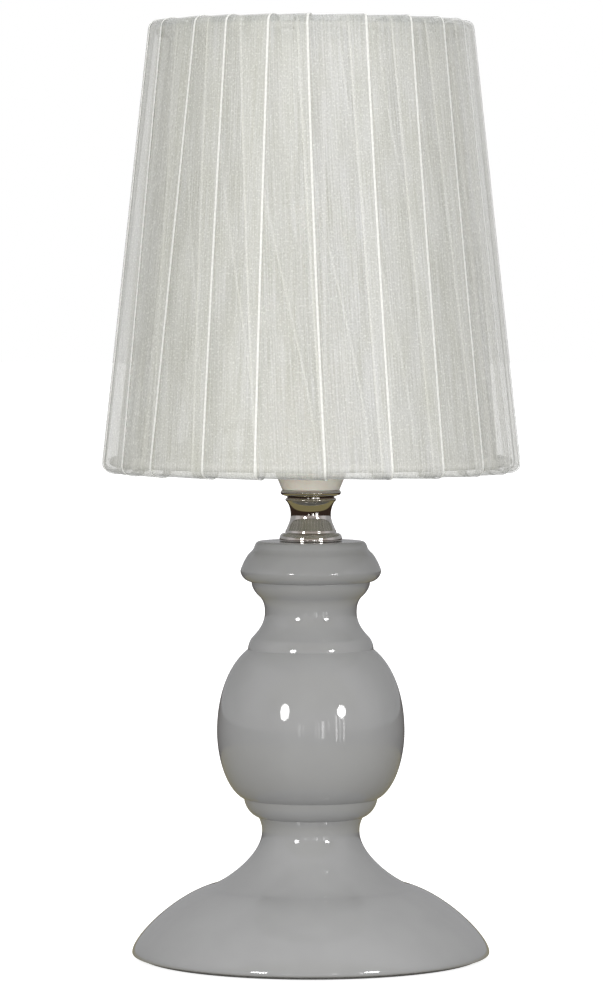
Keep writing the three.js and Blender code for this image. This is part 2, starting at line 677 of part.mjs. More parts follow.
function screwShell() {
  const topZ = SHELL_Z + SHELL_H;
  const wallZ = SHELL_Z + SHELL_T;
  const threadZ = topZ - SHELL_THREAD_H;
  const outline = new Outline(SHELL_FOOT_R, SHELL_Z)
    .to(SHELL_OUTER_R, SHELL_Z)
    .to(SHELL_OUTER_R, topZ)
    .to(SHELL_R, topZ)
    .threadWall(SHELL_R, threadZ, CAP_PITCH)
    .to(SHELL_R, wallZ)
    .to(SHELL_FOOT_R, wallZ)
    .close();
  return thread(turned(outline, SMALL_ROUND), SHELL_R, CAP_THREAD_A, CAP_PITCH, threadZ, topZ);
}

const BARREL_BORE_R = SHELL_OUTER_R + RUN;
const BARREL_CHAMBER_R = CORE_R + RUN;
const BARREL_SHOULDER_Z = SHELL_Z + SHELL_T + RUN;

function holderBarrel() {
  const skirtR = BARREL_CHAMBER_R + BARREL_WALL;
  const threadZ = BARREL_SEAT_Z + BARREL_PLAIN_H;
  const threadTopZ = threadZ + BARREL_THREAD_H;
  const lipR = BARREL_THREAD_R - BARREL_THREAD_A - BARREL_LIP_IN;
  const outline = new Outline(BARREL_CHAMBER_R, BARREL_Z)
    .to(skirtR, BARREL_Z)
    .to(skirtR, BARREL_FLANGE_Z)
    .to(BARREL_FLANGE_R, BARREL_FLANGE_Z)
    .to(BARREL_FLANGE_R, BARREL_SEAT_Z)
    .to(BARREL_THREAD_R, BARREL_SEAT_Z)
    .to(BARREL_THREAD_R, threadZ)
    .threadWall(BARREL_THREAD_R, threadTopZ, RING_PITCH)
    .to(lipR, threadTopZ)
    .to(lipR, BARREL_TOP_Z)
    .to(BARREL_BORE_R, BARREL_TOP_Z)
    .to(BARREL_BORE_R, BARREL_SHOULDER_Z)
    .to(BARREL_CHAMBER_R, BARREL_SHOULDER_Z)
    .close();
  const barrel = turned(outline, HOLDER_ROUND);
  return thread(barrel, BARREL_THREAD_R, BARREL_THREAD_A, RING_PITCH, threadZ, threadTopZ);
}

// Bulb, with its own origin at the underside of its tip

const CAP_Z = TIP_H + INSULATOR_H;
const CAP_SKIRT_Z = CAP_Z + CAP_THREAD_H;
const CAP_TOP_Z = CAP_SKIRT_Z + CAP_SKIRT_H;
const CAP_BORE_R = CAP_R - CAP_THREAD_A - CAP_WALL;
const GLASS_TAIL_R = CAP_BORE_R - RUN;
const GLASS_TAIL_Z = CAP_TOP_Z - GLASS_TAIL_DEPTH;
const GLASS_CENTRE_Z = BULB_L - GLASS_R;
const ROUND_PULL = 0.552; // handle of a quarter circle, as a share of its radius

function bulbTip() {
  return turned(
    new Outline(0, 0)
      .corner(TIP_R, 0, TIP_R, TIP_H - SEAT, SHORT_STEPS)
      .to(0, TIP_H - SEAT),
    SMALL_ROUND,
  );
}

function bulbInsulator() {
  return turned(
    new Outline(0, TIP_H)
      .to(INSULATOR_FOOT_R, TIP_H)
      .to(CAP_BORE_R - RUN, CAP_Z)
      .to(CAP_BORE_R - RUN, CAP_Z + INSULATOR_IN_CAP)
      .to(0, CAP_Z + INSULATOR_IN_CAP),
    SMALL_ROUND,
  );
}

function bulbCap() {
  const outline = new Outline(CAP_BORE_R, CAP_Z)
    .to(CAP_R, CAP_Z)
    .threadWall(CAP_R, CAP_SKIRT_Z, CAP_PITCH)
    .to(CAP_R, CAP_SKIRT_Z + CAP_SHOULDER_H)
    .to(CAP_SKIRT_R, CAP_TOP_Z)
    .to(CAP_BORE_R, CAP_TOP_Z)
    .close();
  return thread(turned(outline, SMALL_ROUND), CAP_R, CAP_THREAD_A, CAP_PITCH, CAP_Z, CAP_SKIRT_Z, BULB_Z);
}

// The neck and the ball, at a distance inside the outer face, from the foot of the neck to the ball's top.
function neckAndBall(outline, inset, neckZ) {
  const r = GLASS_R - inset;
  return outline
    .to(GLASS_NECK_R - inset, neckZ)
    .bend(GLASS_NECK_FOOT, r, GLASS_CENTRE_Z, [0, -GLASS_BALL_PULL], SHORT_STEPS + 1)
    .bend([0, ROUND_PULL * r], 0, GLASS_CENTRE_Z + r, [ROUND_PULL * r, 0], SHORT_STEPS + 1);
}

function bulbGlass() {
  const shoulderZ = CAP_TOP_Z + RUN;
  const neckZ = shoulderZ + GLASS_SHOULDER_H;
  const tailBoreR = GLASS_TAIL_R - GLASS_WALL;
  const tail = new Outline(GLASS_TAIL_R, GLASS_TAIL_Z).to(GLASS_TAIL_R, shoulderZ);
  const tailBore = new Outline(tailBoreR, GLASS_TAIL_Z).to(tailBoreR, neckZ);
  const outside = neckAndBall(tail, 0, neckZ);
  const inside = neckAndBall(tailBore, GLASS_WALL, neckZ + GLASS_WALL);
  outside.points.push(...inside.points.reverse());
  outside.close();
  return turned(outside, SMALL_ROUND);
}

const STEM_Z = GLASS_TAIL_Z + 2 * GLASS_WALL;
const STEM_TOP_Z = STEM_Z + STEM_H;

function bulbStem() {
  return turned(
    new Outline(0, STEM_Z)
      .to(GLASS_TAIL_R - GLASS_WALL - RUN, STEM_Z)
      .to(STEM_R, STEM_Z + STEM_FOOT_H)
      .to(STEM_R, STEM_TOP_Z - STEM_TIP_H)
      .to(STEM_TIP_R, STEM_TOP_Z)
      .to(0, STEM_TOP_Z),
    SMALL_ROUND,
  );
}

function leadWire(side) {
  const from = new THREE.Vector3(side * LEAD_X, 0, STEM_TOP_Z + SEAT);
  const to = new THREE.Vector3(side * LEAD_SPREAD, 0, STEM_TOP_Z + LEAD_H);
  const rise = new THREE.Vector3(from.x, 0, from.z + LEAD_UPRIGHT * LEAD_H);
  return wire([from, rise, to], LEAD_R, BEND_STEPS);
}

function filament() {
  const z = STEM_TOP_Z + LEAD_H + LEAD_R + FILAMENT_R;
  const place = (x, lift) => new THREE.Vector3(x, 0, z + lift);
  const bow = [place(-LEAD_SPREAD, 0), place(0, FILAMENT_BOW), place(LEAD_SPREAD, 0)];
  return wire(bow, FILAMENT_R, 2 * BEND_STEPS);
}

// Shade fitter

function fitterReducer() {
  const spigotR = FITTER_BORE_R - RUN;
  const flangeTop = REDUCER_Z + REDUCER_FLANGE_T;
  const top = SHADE_RING_Z - RUN;
  const boreR = BARREL_THREAD_R + BARREL_THREAD_A + RUN;
  return turned(
    new Outline(boreR, REDUCER_Z)
      .to(REDUCER_FLANGE_R, REDUCER_Z)
      .to(REDUCER_FLANGE_R, flangeTop)
      .to(spigotR, flangeTop)
      .to(spigotR, top)
      .to(boreR, top)
      .close(),
    HOLDER_ROUND,
  );
}

// The threaded ring that holds the reducer down, with a fluted edge for the fingers.
function shadeRing() {
  const boreR = BARREL_THREAD_R + THREAD_RUN;
  const top = SHADE_RING_Z + SHADE_RING_H;
  const [bevelIn, bevelUp] = SHADE_RING_BEVEL;
  const outline = new Outline(boreR, SHADE_RING_Z)
    .to(SHADE_RING_R, SHADE_RING_Z)
    .to(SHADE_RING_R, top - bevelUp)
    .to(SHADE_RING_R + bevelIn, top)
    .to(boreR, top)
    .threadWall(boreR, SHADE_RING_Z, RING_PITCH);
  const geometry = turned(outline, 2 * SHADE_RING_FLUTES);
  const at = geometry.attributes.position;
  for (let i = 0; i < at.count; i += 1) {
    const radius = Math.hypot(at.getX(i), at.getY(i));
    if (radius < (boreR + SHADE_RING_R) / 2) continue;
    const angle = Math.atan2(at.getY(i), at.getX(i));
    const grown = radius + SHADE_RING_FLUTE_A * Math.cos(SHADE_RING_FLUTES * angle) - SHADE_RING_FLUTE_A;
    at.setXY(i, grown * Math.cos(angle), grown * Math.sin(angle));
  }
  return thread(geometry, boreR, BARREL_THREAD_A, RING_PITCH, SHADE_RING_Z, top);
}

// Shade frame. The ribbon goes round both rings, at a distance that leaves room for the wire and the laps.

const TOP_HALF_ANGLE = RIBBON_W / 2 / SHADE_TOP_R;
// Half of the thickness of a lapped layer
const LAY_HALF = (LAP_RISE * TOP_HALF_ANGLE) / PITCH_ANGLE + RIBBON_T / 2;
const WRAP_R = RING_WIRE_R + RIBBON_RUN + LAY_HALF; // from the ring's centre to the middle of the layer
const HEM_R = WRAP_R + LAY_HALF;
const BOTTOM_RING = new THREE.Vector2(SHADE_BOTTOM_R - HEM_R, SHADE_BOTTOM_Z + HEM_R);
const TOP_RING = new THREE.Vector2(SHADE_TOP_R - HEM_R, SHADE_TOP_Z - HEM_R);
const SLANT = TOP_RING.clone().sub(BOTTOM_RING);

function shadeWireRing(ring) {
  return new THREE.TorusGeometry(ring.x, RING_WIRE_R, WIRE_ROUND, ROUND).translate(0, 0, ring.y);
}

// A wire between the rings, straight up the slant of the shade.
function strut(angle) {
  const stop = SLANT.clone().setLength(RING_WIRE_R + RUN);
  const low = BOTTOM_RING.clone().add(stop);
  const high = TOP_RING.clone().sub(stop);
  return wire([aroundAxis(low.x, angle, low.y), aroundAxis(high.x, angle, high.y)], STRUT_R, 1);
}

// A wire from the fitter ring down to the bottom ring, grown by a clearance for the ribbon's slit round it.
function fitterArm(angle, grow) {
  const startZ = FITTER_Z + FITTER_T / 2;
  const start = new THREE.Vector2(FITTER_R + RUN, startZ);
  const bendAt = new THREE.Vector2(FITTER_R + ARM_BEND_OUT, startZ - ARM_BEND_DROP);
  const stop = BOTTOM_RING.clone().sub(bendAt).setLength(RING_WIRE_R + RUN - grow);
  const end = BOTTOM_RING.clone().sub(stop);
  const middle = bendAt.clone().lerp(end, 0.5);
  const points = [start, bendAt, middle, end].map((p) => aroundAxis(p.x, angle, p.y));
  return wire(points, ARM_R + grow, BEND_STEPS + 1);
}

const armAngle = (i) => Math.PI / 2 + (i * 2 * Math.PI) / ARMS;
const strutAngle = (i) => Math.PI / 6 + PITCH_ANGLE / 4 + (i * 2 * Math.PI) / STRUTS;

// Ribbon. One turn runs up the outside, over the top ring, down the inside and round the bottom ring. On its
// way down it moves on by one pitch. Places on a turn are given as a stretch and a share of it.

const OUTWARD = new THREE.Vector2(SLANT.y, -SLANT.x).normalize();
const HEM_STEPS = 4;
const DOWN_STEPS = 2;

// The middle of the layer in half section, its outward direction, and the share of a pitch moved on.
function lay(stretch, share) {
  const turn = (centre, from) => {
    const angle = from + share * Math.PI;
    const out = OUTWARD.clone().rotateAround(new THREE.Vector2(), angle);
    return { centre, out };
  };
  if (stretch === 'hem') return { ...turn(BOTTOM_RING, -Math.PI), moved: 0 };
  if (stretch === 'up') return { centre: BOTTOM_RING.clone().lerp(TOP_RING, share), out: OUTWARD, moved: 0 };
  if (stretch === 'over') return { ...turn(TOP_RING, 0), moved: 0 };
  const down = TOP_RING.clone().lerp(BOTTOM_RING, share);
  return { centre: down, out: OUTWARD.clone().negate(), moved: share * share * (3 - 2 * share) };
}

// A point of the ribbon: across goes from -1 to 1 over its width, and face is -1 inside and 1 outside.
function ribbonPoint(turnIndex, place, across, face) {
  const middle = place.centre.clone().addScaledVector(place.out, WRAP_R);
  const halfAngle = RIBBON_W / 2 / middle.x;
  const lift = (LAP_RISE * across * halfAngle) / PITCH_ANGLE + (face * RIBBON_T) / 2;
  const at = middle.addScaledVector(place.out, lift);
  const angle = (turnIndex + place.moved) * PITCH_ANGLE + across * halfAngle;
  return aroundAxis(at.x, angle, at.y);
}

const ACROSS = [-1, -1 / 3, 1 / 3, 1];
const GAP_SHARES = [0, 0.125, 0.25, 0.375, 0.5, 0.625, 0.75, 0.875, 1]; // between two of them

// The places of one turn, from the inside of the bottom ring up, over and down again.
function turnPlaces() {
  const places = [];
  for (let i = 0; i < HEM_STEPS; i += 1) places.push(lay('hem', i / HEM_STEPS));
  places.push(lay('up', 0));
  for (let i = 0; i < HEM_STEPS; i += 1) places.push(lay('over', i / HEM_STEPS));
  for (let i = 0; i < DOWN_STEPS; i += 1) places.push(lay('down', i / DOWN_STEPS));
  return places;
}

function ribbonSections() {
  const sections = [];
  const section = (turnIndex, place) => {
    const outer = ACROSS.map((across) => ribbonPoint(turnIndex, place, across, 1));
    const inner = ACROSS.map((across) => ribbonPoint(turnIndex, place, across, -1));
    return [...outer, ...inner.reverse()];
  };
  for (let turnIndex = 0; turnIndex < TURNS; turnIndex += 1) {
    for (const place of turnPlaces()) sections.push(section(turnIndex, place));
  }
  sections.push(section(TURNS - 1, lay('down', RIBBON_END)));
  return sections;
}

function ribbonSolid() {
  const sections = ribbonSections();
  const sides = sections[0].length;
  const positions = sections.flatMap((section) => section.flatMap((p) => [p.x, p.y, p.z]));
  const corners = [];
  for (let i = 0; i + 1 < sections.length; i += 1) {
    for (let j = 0; j < sides; j += 1) {
      const a = i * sides + j;
      const b = i * sides + ((j + 1) % sides);
      corners.push(a, b, a + sides, b, b + sides, a + sides);
    }
  }
  const last = (sections.length - 1) * sides;
  for (let j = 1; j + 1 < sides; j += 1) {
    corners.push(0, j + 1, j, last, last + j, last + j + 1);
  }
  const geometry = new THREE.BufferGeometry();
  geometry.setAttribute('position', new THREE.Float32BufferAttribute(positions, 3));
  geometry.setIndex(corners);
  return solid(geometry);
}

// The least distance from the inner face of one turn to the outer face of the next, on points of both.
function leastRibbonGap() {
  const facePoints = (turnIndex, face) => {
    const points = [];
    for (const place of turnPlaces()) {
      const row = ACROSS.map((across) => ribbonPoint(turnIndex, place, across, face));
      for (let i = 0; i + 1 < row.length; i += 1) {
        for (const share of GAP_SHARES) points.push(row[i].clone().lerp(row[i + 1], share));
      }
    }
    return points;
  };
  const inner = facePoints(0, -1);
  const outer = facePoints(1, 1);
  let least = Infinity;
  for (const p of inner) {
    for (const q of outer) least = Math.min(least, p.distanceTo(q));
  }
  return least;
}

// The wound ribbon, slit where the arms of the fitter go through to the bottom ring.
function shadeRibbon() {
  let ribbon = ribbonSolid();
  for (let i = 0; i < ARMS; i += 1) ribbon = ribbon.subtract(solid(fitterArm(armAngle(i), RUN)));
  return surface(ribbon);
}

console.log(`ribbon: least gap to itself ${leastRibbonGap().toFixed(2)} mm`);

// Finishes
function finish(color, roughness, metalness) {
  return () => new THREE.MeshStandardMaterial({ color, roughness, metalness });
}

const greyGlaze = finish('#9d9d9c', 0.1, 0);
const chrome = finish('#cfcac2', 0.08, 1);
const steel = finish('#a9a9a6', 0.4, 1);
const zinc = finish('#b9b8b0', 0.35, 1);
const brass = finish('#c9a85a', 0.3, 1);
const nickel = finish('#c4bda8', 0.25, 1);
const felt = finish('#3d3d3c', 0.95, 0);
const rubber = finish('#d9d8d4', 0.7, 0);
const palePlastic = finish('#e0d5c9', 0.35, 0);
const porcelain = finish('#efece4', 0.2, 0);
const blackGlass = finish('#1c1a1a', 0.2, 0);
const opalGlass = finish('#f4f1ea', 0.25, 0);
const clearGlass = finish('#dfe6e3', 0.1, 0);
const tungsten = finish('#6b6a69', 0.5, 1);
const whiteWire = finish('#e6e5e0', 0.4, 0);
const sheerRibbon = finish('#d3d4cd', 0.6, 0);

function add(group, name, geometry, material) {
  const whole = closed(geometry);
  whole.computeVertexNormals();
  const mesh = new THREE.Mesh(whole, material());
  mesh.name = name;
  group.add(mesh);
}

const base = new THREE.Group();
add(base, 'foot_pad', disc(FOOT_R - FOOT_EDGE_IN - PAD_MARGIN, 0, PAD_T), felt);
add(base, 'ceramic_body', ceramicBody(), greyGlaze);
add(base, 'cord_bush', cordBush(), rubber);
add(base, 'base_plate', washer(TUBE_HOLE_R, LEDGE_R - PLATE_MARGIN, PLATE_Z, PLATE_T), steel);
add(base, 'base_washer', washer(TUBE_HOLE_R, WASHER_R, WASHER_Z, WASHER_T, SMALL_ROUND), zinc);
add(base, 'base_nut', nut(), zinc);
const tubeZ = NUT_Z - TUBE_BELOW_NUT;
const tubeL = DOME_Z + BOSS_H - SEAT - tubeZ;
add(base, 'threaded_tube', washer(TUBE_BORE_R, TUBE_R, tubeZ, tubeL, SMALL_ROUND), zinc);
add(base, 'centring_bush', centringBush(), rubber);
add(base, 'neck', neck(), chrome);
add(base, 'neck_cup', cup(), chrome);

const holder = new THREE.Group();
add(holder, 'holder_dome', holderDome(), palePlastic);
add(holder, 'tube_lock_screw', tubeLockScrew(), zinc);
add(holder, 'holder_core', holderCore(), porcelain);
add(holder, 'terminal_screw_1', terminalScrew(-TERMINAL_X), brass);
add(holder, 'terminal_screw_2', terminalScrew(TERMINAL_X), brass);
add(holder, 'centre_contact', centreContact(), brass);
add(holder, 'screw_shell', screwShell(), nickel);
add(holder, 'holder_barrel', holderBarrel(), palePlastic);

const bulb = new THREE.Group();
bulb.position.z = BULB_Z;
add(bulb, 'bulb_tip', bulbTip(), zinc);
add(bulb, 'bulb_insulator', bulbInsulator(), blackGlass);
add(bulb, 'bulb_cap', bulbCap(), nickel);
add(bulb, 'bulb_glass', bulbGlass(), opalGlass);
add(bulb, 'bulb_stem', bulbStem(), clearGlass);
add(bulb, 'lead_wire_1', leadWire(-1), nickel);
add(bulb, 'lead_wire_2', leadWire(1), nickel);
add(bulb, 'filament', filament(), tungsten);

const shade = new THREE.Group();
add(shade, 'fitter_reducer', fitterReducer(), palePlastic);
add(shade, 'shade_ring', shadeRing(), palePlastic);
add(shade, 'fitter_ring', washer(FITTER_BORE_R, FITTER_R, FITTER_Z, FITTER_T), whiteWire);
for (let i = 0; i < ARMS; i += 1) {
  add(shade, `fitter_arm_${i + 1}`, fitterArm(armAngle(i), 0), whiteWire);
}
for (let i = 0; i < STRUTS; i += 1) {
  add(shade, `shade_strut_${i + 1}`, strut(strutAngle(i)), whiteWire);
}
add(shade, 'shade_top_ring', shadeWireRing(TOP_RING), whiteWire);
add(shade, 'shade_bottom_ring', shadeWireRing(BOTTOM_RING), whiteWire);
add(shade, 'shade_ribbon', shadeRibbon(), sheerRibbon);

const lamp = new THREE.Group();
lamp.name = 'bedside_lamp';
lamp.add(base, holder, bulb, shade);

export default lamp;
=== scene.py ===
"""Bedside lamp: glazed ceramic body, chromed neck, screw lamp holder with its bulb, wound ribbon shade.

Sizes in the classes are millimetres, and heights are measured above the table. The meshes are in metres.
"""

import logging
import math
from collections.abc import Sequence
from dataclasses import dataclass
from enum import Enum
from functools import lru_cache

import bmesh
import bpy
import numpy as np
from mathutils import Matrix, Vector


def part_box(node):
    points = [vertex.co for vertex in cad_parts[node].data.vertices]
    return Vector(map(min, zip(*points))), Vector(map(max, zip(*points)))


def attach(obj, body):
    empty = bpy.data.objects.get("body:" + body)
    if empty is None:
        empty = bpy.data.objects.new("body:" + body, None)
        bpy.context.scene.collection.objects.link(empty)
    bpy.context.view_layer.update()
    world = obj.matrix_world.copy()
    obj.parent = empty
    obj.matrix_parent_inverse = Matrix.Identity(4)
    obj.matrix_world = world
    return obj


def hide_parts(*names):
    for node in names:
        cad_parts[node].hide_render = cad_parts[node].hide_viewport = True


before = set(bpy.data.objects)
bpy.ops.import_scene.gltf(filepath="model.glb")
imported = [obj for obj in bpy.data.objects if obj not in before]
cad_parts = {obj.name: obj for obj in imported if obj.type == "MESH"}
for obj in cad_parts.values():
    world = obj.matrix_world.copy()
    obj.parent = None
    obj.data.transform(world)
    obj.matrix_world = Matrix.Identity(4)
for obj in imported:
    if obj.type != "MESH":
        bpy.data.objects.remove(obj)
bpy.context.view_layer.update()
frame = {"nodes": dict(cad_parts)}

LOG = logging.getLogger("bedside_lamp")
MM = 0.001
SMOOTH_ANGLE = math.radians(38)
SMALL = 1e-6

MATH = "ShaderNodeMath"
RANGE = "ShaderNodeMapRange"
MIX = "ShaderNodeMix"
SMOOTH = {"interpolation_type": "SMOOTHSTEP"}
COLOURS = {"data_type": "RGBA"}
FIRST, SECOND, RESULT = 6, 7, 2  # sockets of a Mix node set to colours

Point = tuple[float, float]
Socket = bpy.types.NodeSocket
Tree = bpy.types.NodeTree
Node = bpy.types.Node
Piece = bpy.types.Object
Material = bpy.types.Material


class Body(Enum):
    """The bodies that move on their own."""

    BASE = "base"
    SHADE_CARRIER = "shade_carrier"
    SHADE_RING = "shade_ring"
    SHADE = "shade"
    BULB_CARRIER = "bulb_carrier"
    BULB = "bulb"


def linear(colour: str) -> tuple[float, float, float, float]:
    """Turn an sRGB hex colour into linear light.

    Args:
        colour: Six hex digits after a #.

    Returns:
        Red, green, blue and an alpha of 1.
    """
    values = [int(colour[i : i + 2], 16) / 255 for i in (1, 3, 5)]
    red, green, blue = (v / 12.92 if v <= 0.04045 else ((v + 0.055) / 1.055) ** 2.4 for v in values)
    return (red, green, blue, 1.0)


def set_inputs(tree: Tree, node: Node, inputs: dict | Sequence) -> None:
    """Set a node's inputs.

    Args:
        tree: The node tree.
        node: The node.
        inputs: Values, or the sockets or nodes that feed them, in the sockets' order, or by name or number.
    """
    for key, value in inputs.items() if isinstance(inputs, dict) else enumerate(inputs):
        if isinstance(value, Node):
            value = value.outputs[RESULT if getattr(value, "data_type", "") == "RGBA" else 0]
        if isinstance(value, Socket):
            tree.links.new(value, node.inputs[key])
        else:
            node.inputs[key].default_value = value


def add_node(tree: Tree, kind: str, inputs: dict | Sequence = (), **settings: object) -> Node:
    """Add a node with its settings, and its inputs as set_inputs takes them."""
    node = tree.nodes.new(kind)
    for name, value in settings.items():
        setattr(node, name, value)
    set_inputs(tree, node, inputs)
    return node


def new_material(name: str) -> Material:
    """Start a material of nodes."""
    material = bpy.data.materials.new(name)
    material.use_nodes = True
    return material


@dataclass(frozen=True)
class Finish:
    """A finish with a fine pattern in colour, roughness and relief, on Object coordinates.

    grain is the pattern's size along X, Y and Z in millimetres, and relief its height. contrast is the part
    of the noise's range that the pattern is spread over, and depth how far light goes into it.
    """

    name: str
    slot: str
    colour: str
    second: str
    roughness: tuple[float, float]
    grain: tuple[float, float, float]
    relief: float = 0.0
    metallic: float = 0.0
    sheen: float = 0.0
    subsurface: float = 0.0
    detail: float = 2.0
    contrast: tuple[float, float] = (0.3, 0.7)
    depth: float = 2.0

    def build(self) -> Material:
        """Make the material.

        Returns:
            The new material.
        """
        material = new_material(self.name)
        tree = material.node_tree
        place = add_node(tree, "ShaderNodeTexCoord").outputs["Object"]
        scale = tuple(1 / (MM * size) for size in self.grain)
        mapping = add_node(tree, "ShaderNodeMapping", {"Vector": place, "Scale": scale})
        inputs = {"Vector": mapping, "Scale": 1.0, "Detail": self.detail, "Roughness": 0.6}
        pattern = add_node(tree, "ShaderNodeTexNoise", inputs)
        share = add_node(tree, RANGE, (pattern, *self.contrast, 0.0, 1.0), **SMOOTH)
        colours = {0: share, FIRST: linear(self.colour), SECOND: linear(self.second)}
        inputs = {
            "Base Color": add_node(tree, MIX, colours, **COLOURS),
            "Roughness": add_node(tree, RANGE, (pattern, *self.contrast, *self.roughness), **SMOOTH),
            "Metallic": self.metallic,
            "Sheen Weight": self.sheen,
            "Subsurface Weight": self.subsurface,
            "Subsurface Scale": self.depth * MM,
        }
        if self.relief:
            bump = {"Height": pattern, "Distance": self.relief * MM, "Strength": 1.0}
            inputs["Normal"] = add_node(tree, "ShaderNodeBump", bump)
        set_inputs(tree, tree.nodes["Principled BSDF"], inputs)
        return material


# Slip-cast earthenware under a glossy tin glaze: even grey, wet-looking, its reflections faintly swelling.
GREY_GLAZE = Finish(
    "tin_glazed_earthenware", "grey_glaze", "#a4a4a4", "#a8a8a8",
    (0.05, 0.07), (22, 22, 22), relief=0.03,
)
# Steel turned to shape, nickelled and bright chrome plated: a mirror with faint rings from the lathe.
CHROME_PLATE = Finish(
    "chrome_plated_steel", "chrome_plate", "#d9d6d1", "#d0ccc6",
    (0.03, 0.07), (60, 60, 0.8), relief=0.002, metallic=1.0,
)
# Injection moulded thermoplastic, ivory with a warm blush: smooth, waxy, a little light passes into it.
PALE_PLASTIC = Finish(
    "moulded_ivory_thermoplastic", "pale_plastic", "#fdf6ea", "#faf0e2",
    (0.28, 0.36), (3, 3, 3), relief=0.004, subsurface=0.15,
)
# Needled wool felt, die cut: dull, grey and fuzzy, with lighter fibres.
WOOL_FELT = Finish(
    "needled_wool_felt", "felt", "#5e5e5d", "#777674",
    (0.92, 1.0), (0.9, 0.9, 0.9), relief=0.25, sheen=0.3, detail=4.0,
)
# Soft silicone rubber, press moulded: pale, matt, faintly dusty.
SOFT_RUBBER = Finish(
    "pressed_silicone_rubber", "soft_rubber", "#d9d8d4", "#cfceca",
    (0.55, 0.7), (1.5, 1.5, 1.5), relief=0.01,
)
# Cold rolled steel sheet, blanked: grey with the fine lengthwise lines of the rolls.
SHEET_STEEL = Finish(
    "cold_rolled_steel", "sheet_steel", "#a3a3a1", "#8f8f8d",
    (0.3, 0.48), (0.4, 14, 0.4), relief=0.004, metallic=1.0,
)
# Turned steel, zinc plated and passivated: bluish grey, cloudy, with lathe rings.
ZINC_PLATE = Finish(
    "zinc_plated_steel", "zinc_plate", "#b9bab6", "#a5a8a9",
    (0.28, 0.42), (4, 4, 0.5), relief=0.004, metallic=1.0,
)
# Pressed brass strip, bright rolled: yellow, with slight darkening where it was handled.
CONTACT_BRASS = Finish(
    "pressed_brass_strip", "contact_brass", "#cfae62", "#b9964d",
    (0.2, 0.36), (5, 0.6, 0.6), relief=0.003, metallic=1.0,
)
# Thin brass, drawn and rolled into a thread, then nickel plated: warm silver with dull patches.
NICKEL_PLATE = Finish(
    "nickel_plated_brass", "nickel_plate", "#c9c3b2", "#b8b09c",
    (0.18, 0.32), (3, 3, 1.2), relief=0.003, metallic=1.0,
)
# Electrical porcelain, dry pressed and glazed: cold white with fine pinholes.
PORCELAIN = Finish(
    "glazed_electrical_porcelain", "porcelain", "#f0ede6", "#e6e2d9",
    (0.12, 0.24), (1.2, 1.2, 1.2), relief=0.01,
)
# Steel wire, bent, welded and powder coated with epoxy: satin white with orange peel.
COATED_WIRE = Finish(
    "epoxy_coated_steel_wire", "white_wire", "#e4e3de", "#dad9d4",
    (0.32, 0.45), (1.2, 1.2, 1.2), relief=0.02,
)
# Black vitrite, a glass pressed hot into the cap: shiny, nearly black, with flow marks.
BLACK_VITRITE = Finish(
    "pressed_black_vitrite", "black_glass", "#161414", "#262322",
    (0.1, 0.22), (2, 2, 1), relief=0.01,
)
# Blown soda-lime glass, coated white inside: milky, even, with a clean gloss on the outside.
OPAL_GLASS = Finish(
    "white_coated_blown_glass", "opal_glass", "#f3f0e9", "#efece3",
    (0.1, 0.16), (9, 9, 14), subsurface=0.3,
)
# Drawn lead glass tube, pinched round the wires: clear, slightly green, with seeds.
STEM_GLASS = Finish(
    "drawn_lead_glass", "clear_glass", "#dfe6e2", "#d2dcd7",
    (0.05, 0.15), (1, 1, 6),
)
# Tungsten wire, drawn through dies and coiled: dark grey, dull.
TUNGSTEN = Finish(
    "drawn_tungsten_wire", "tungsten", "#6f6e6d", "#5c5b5a",
    (0.45, 0.6), (0.5, 0.5, 0.5), metallic=1.0,
)


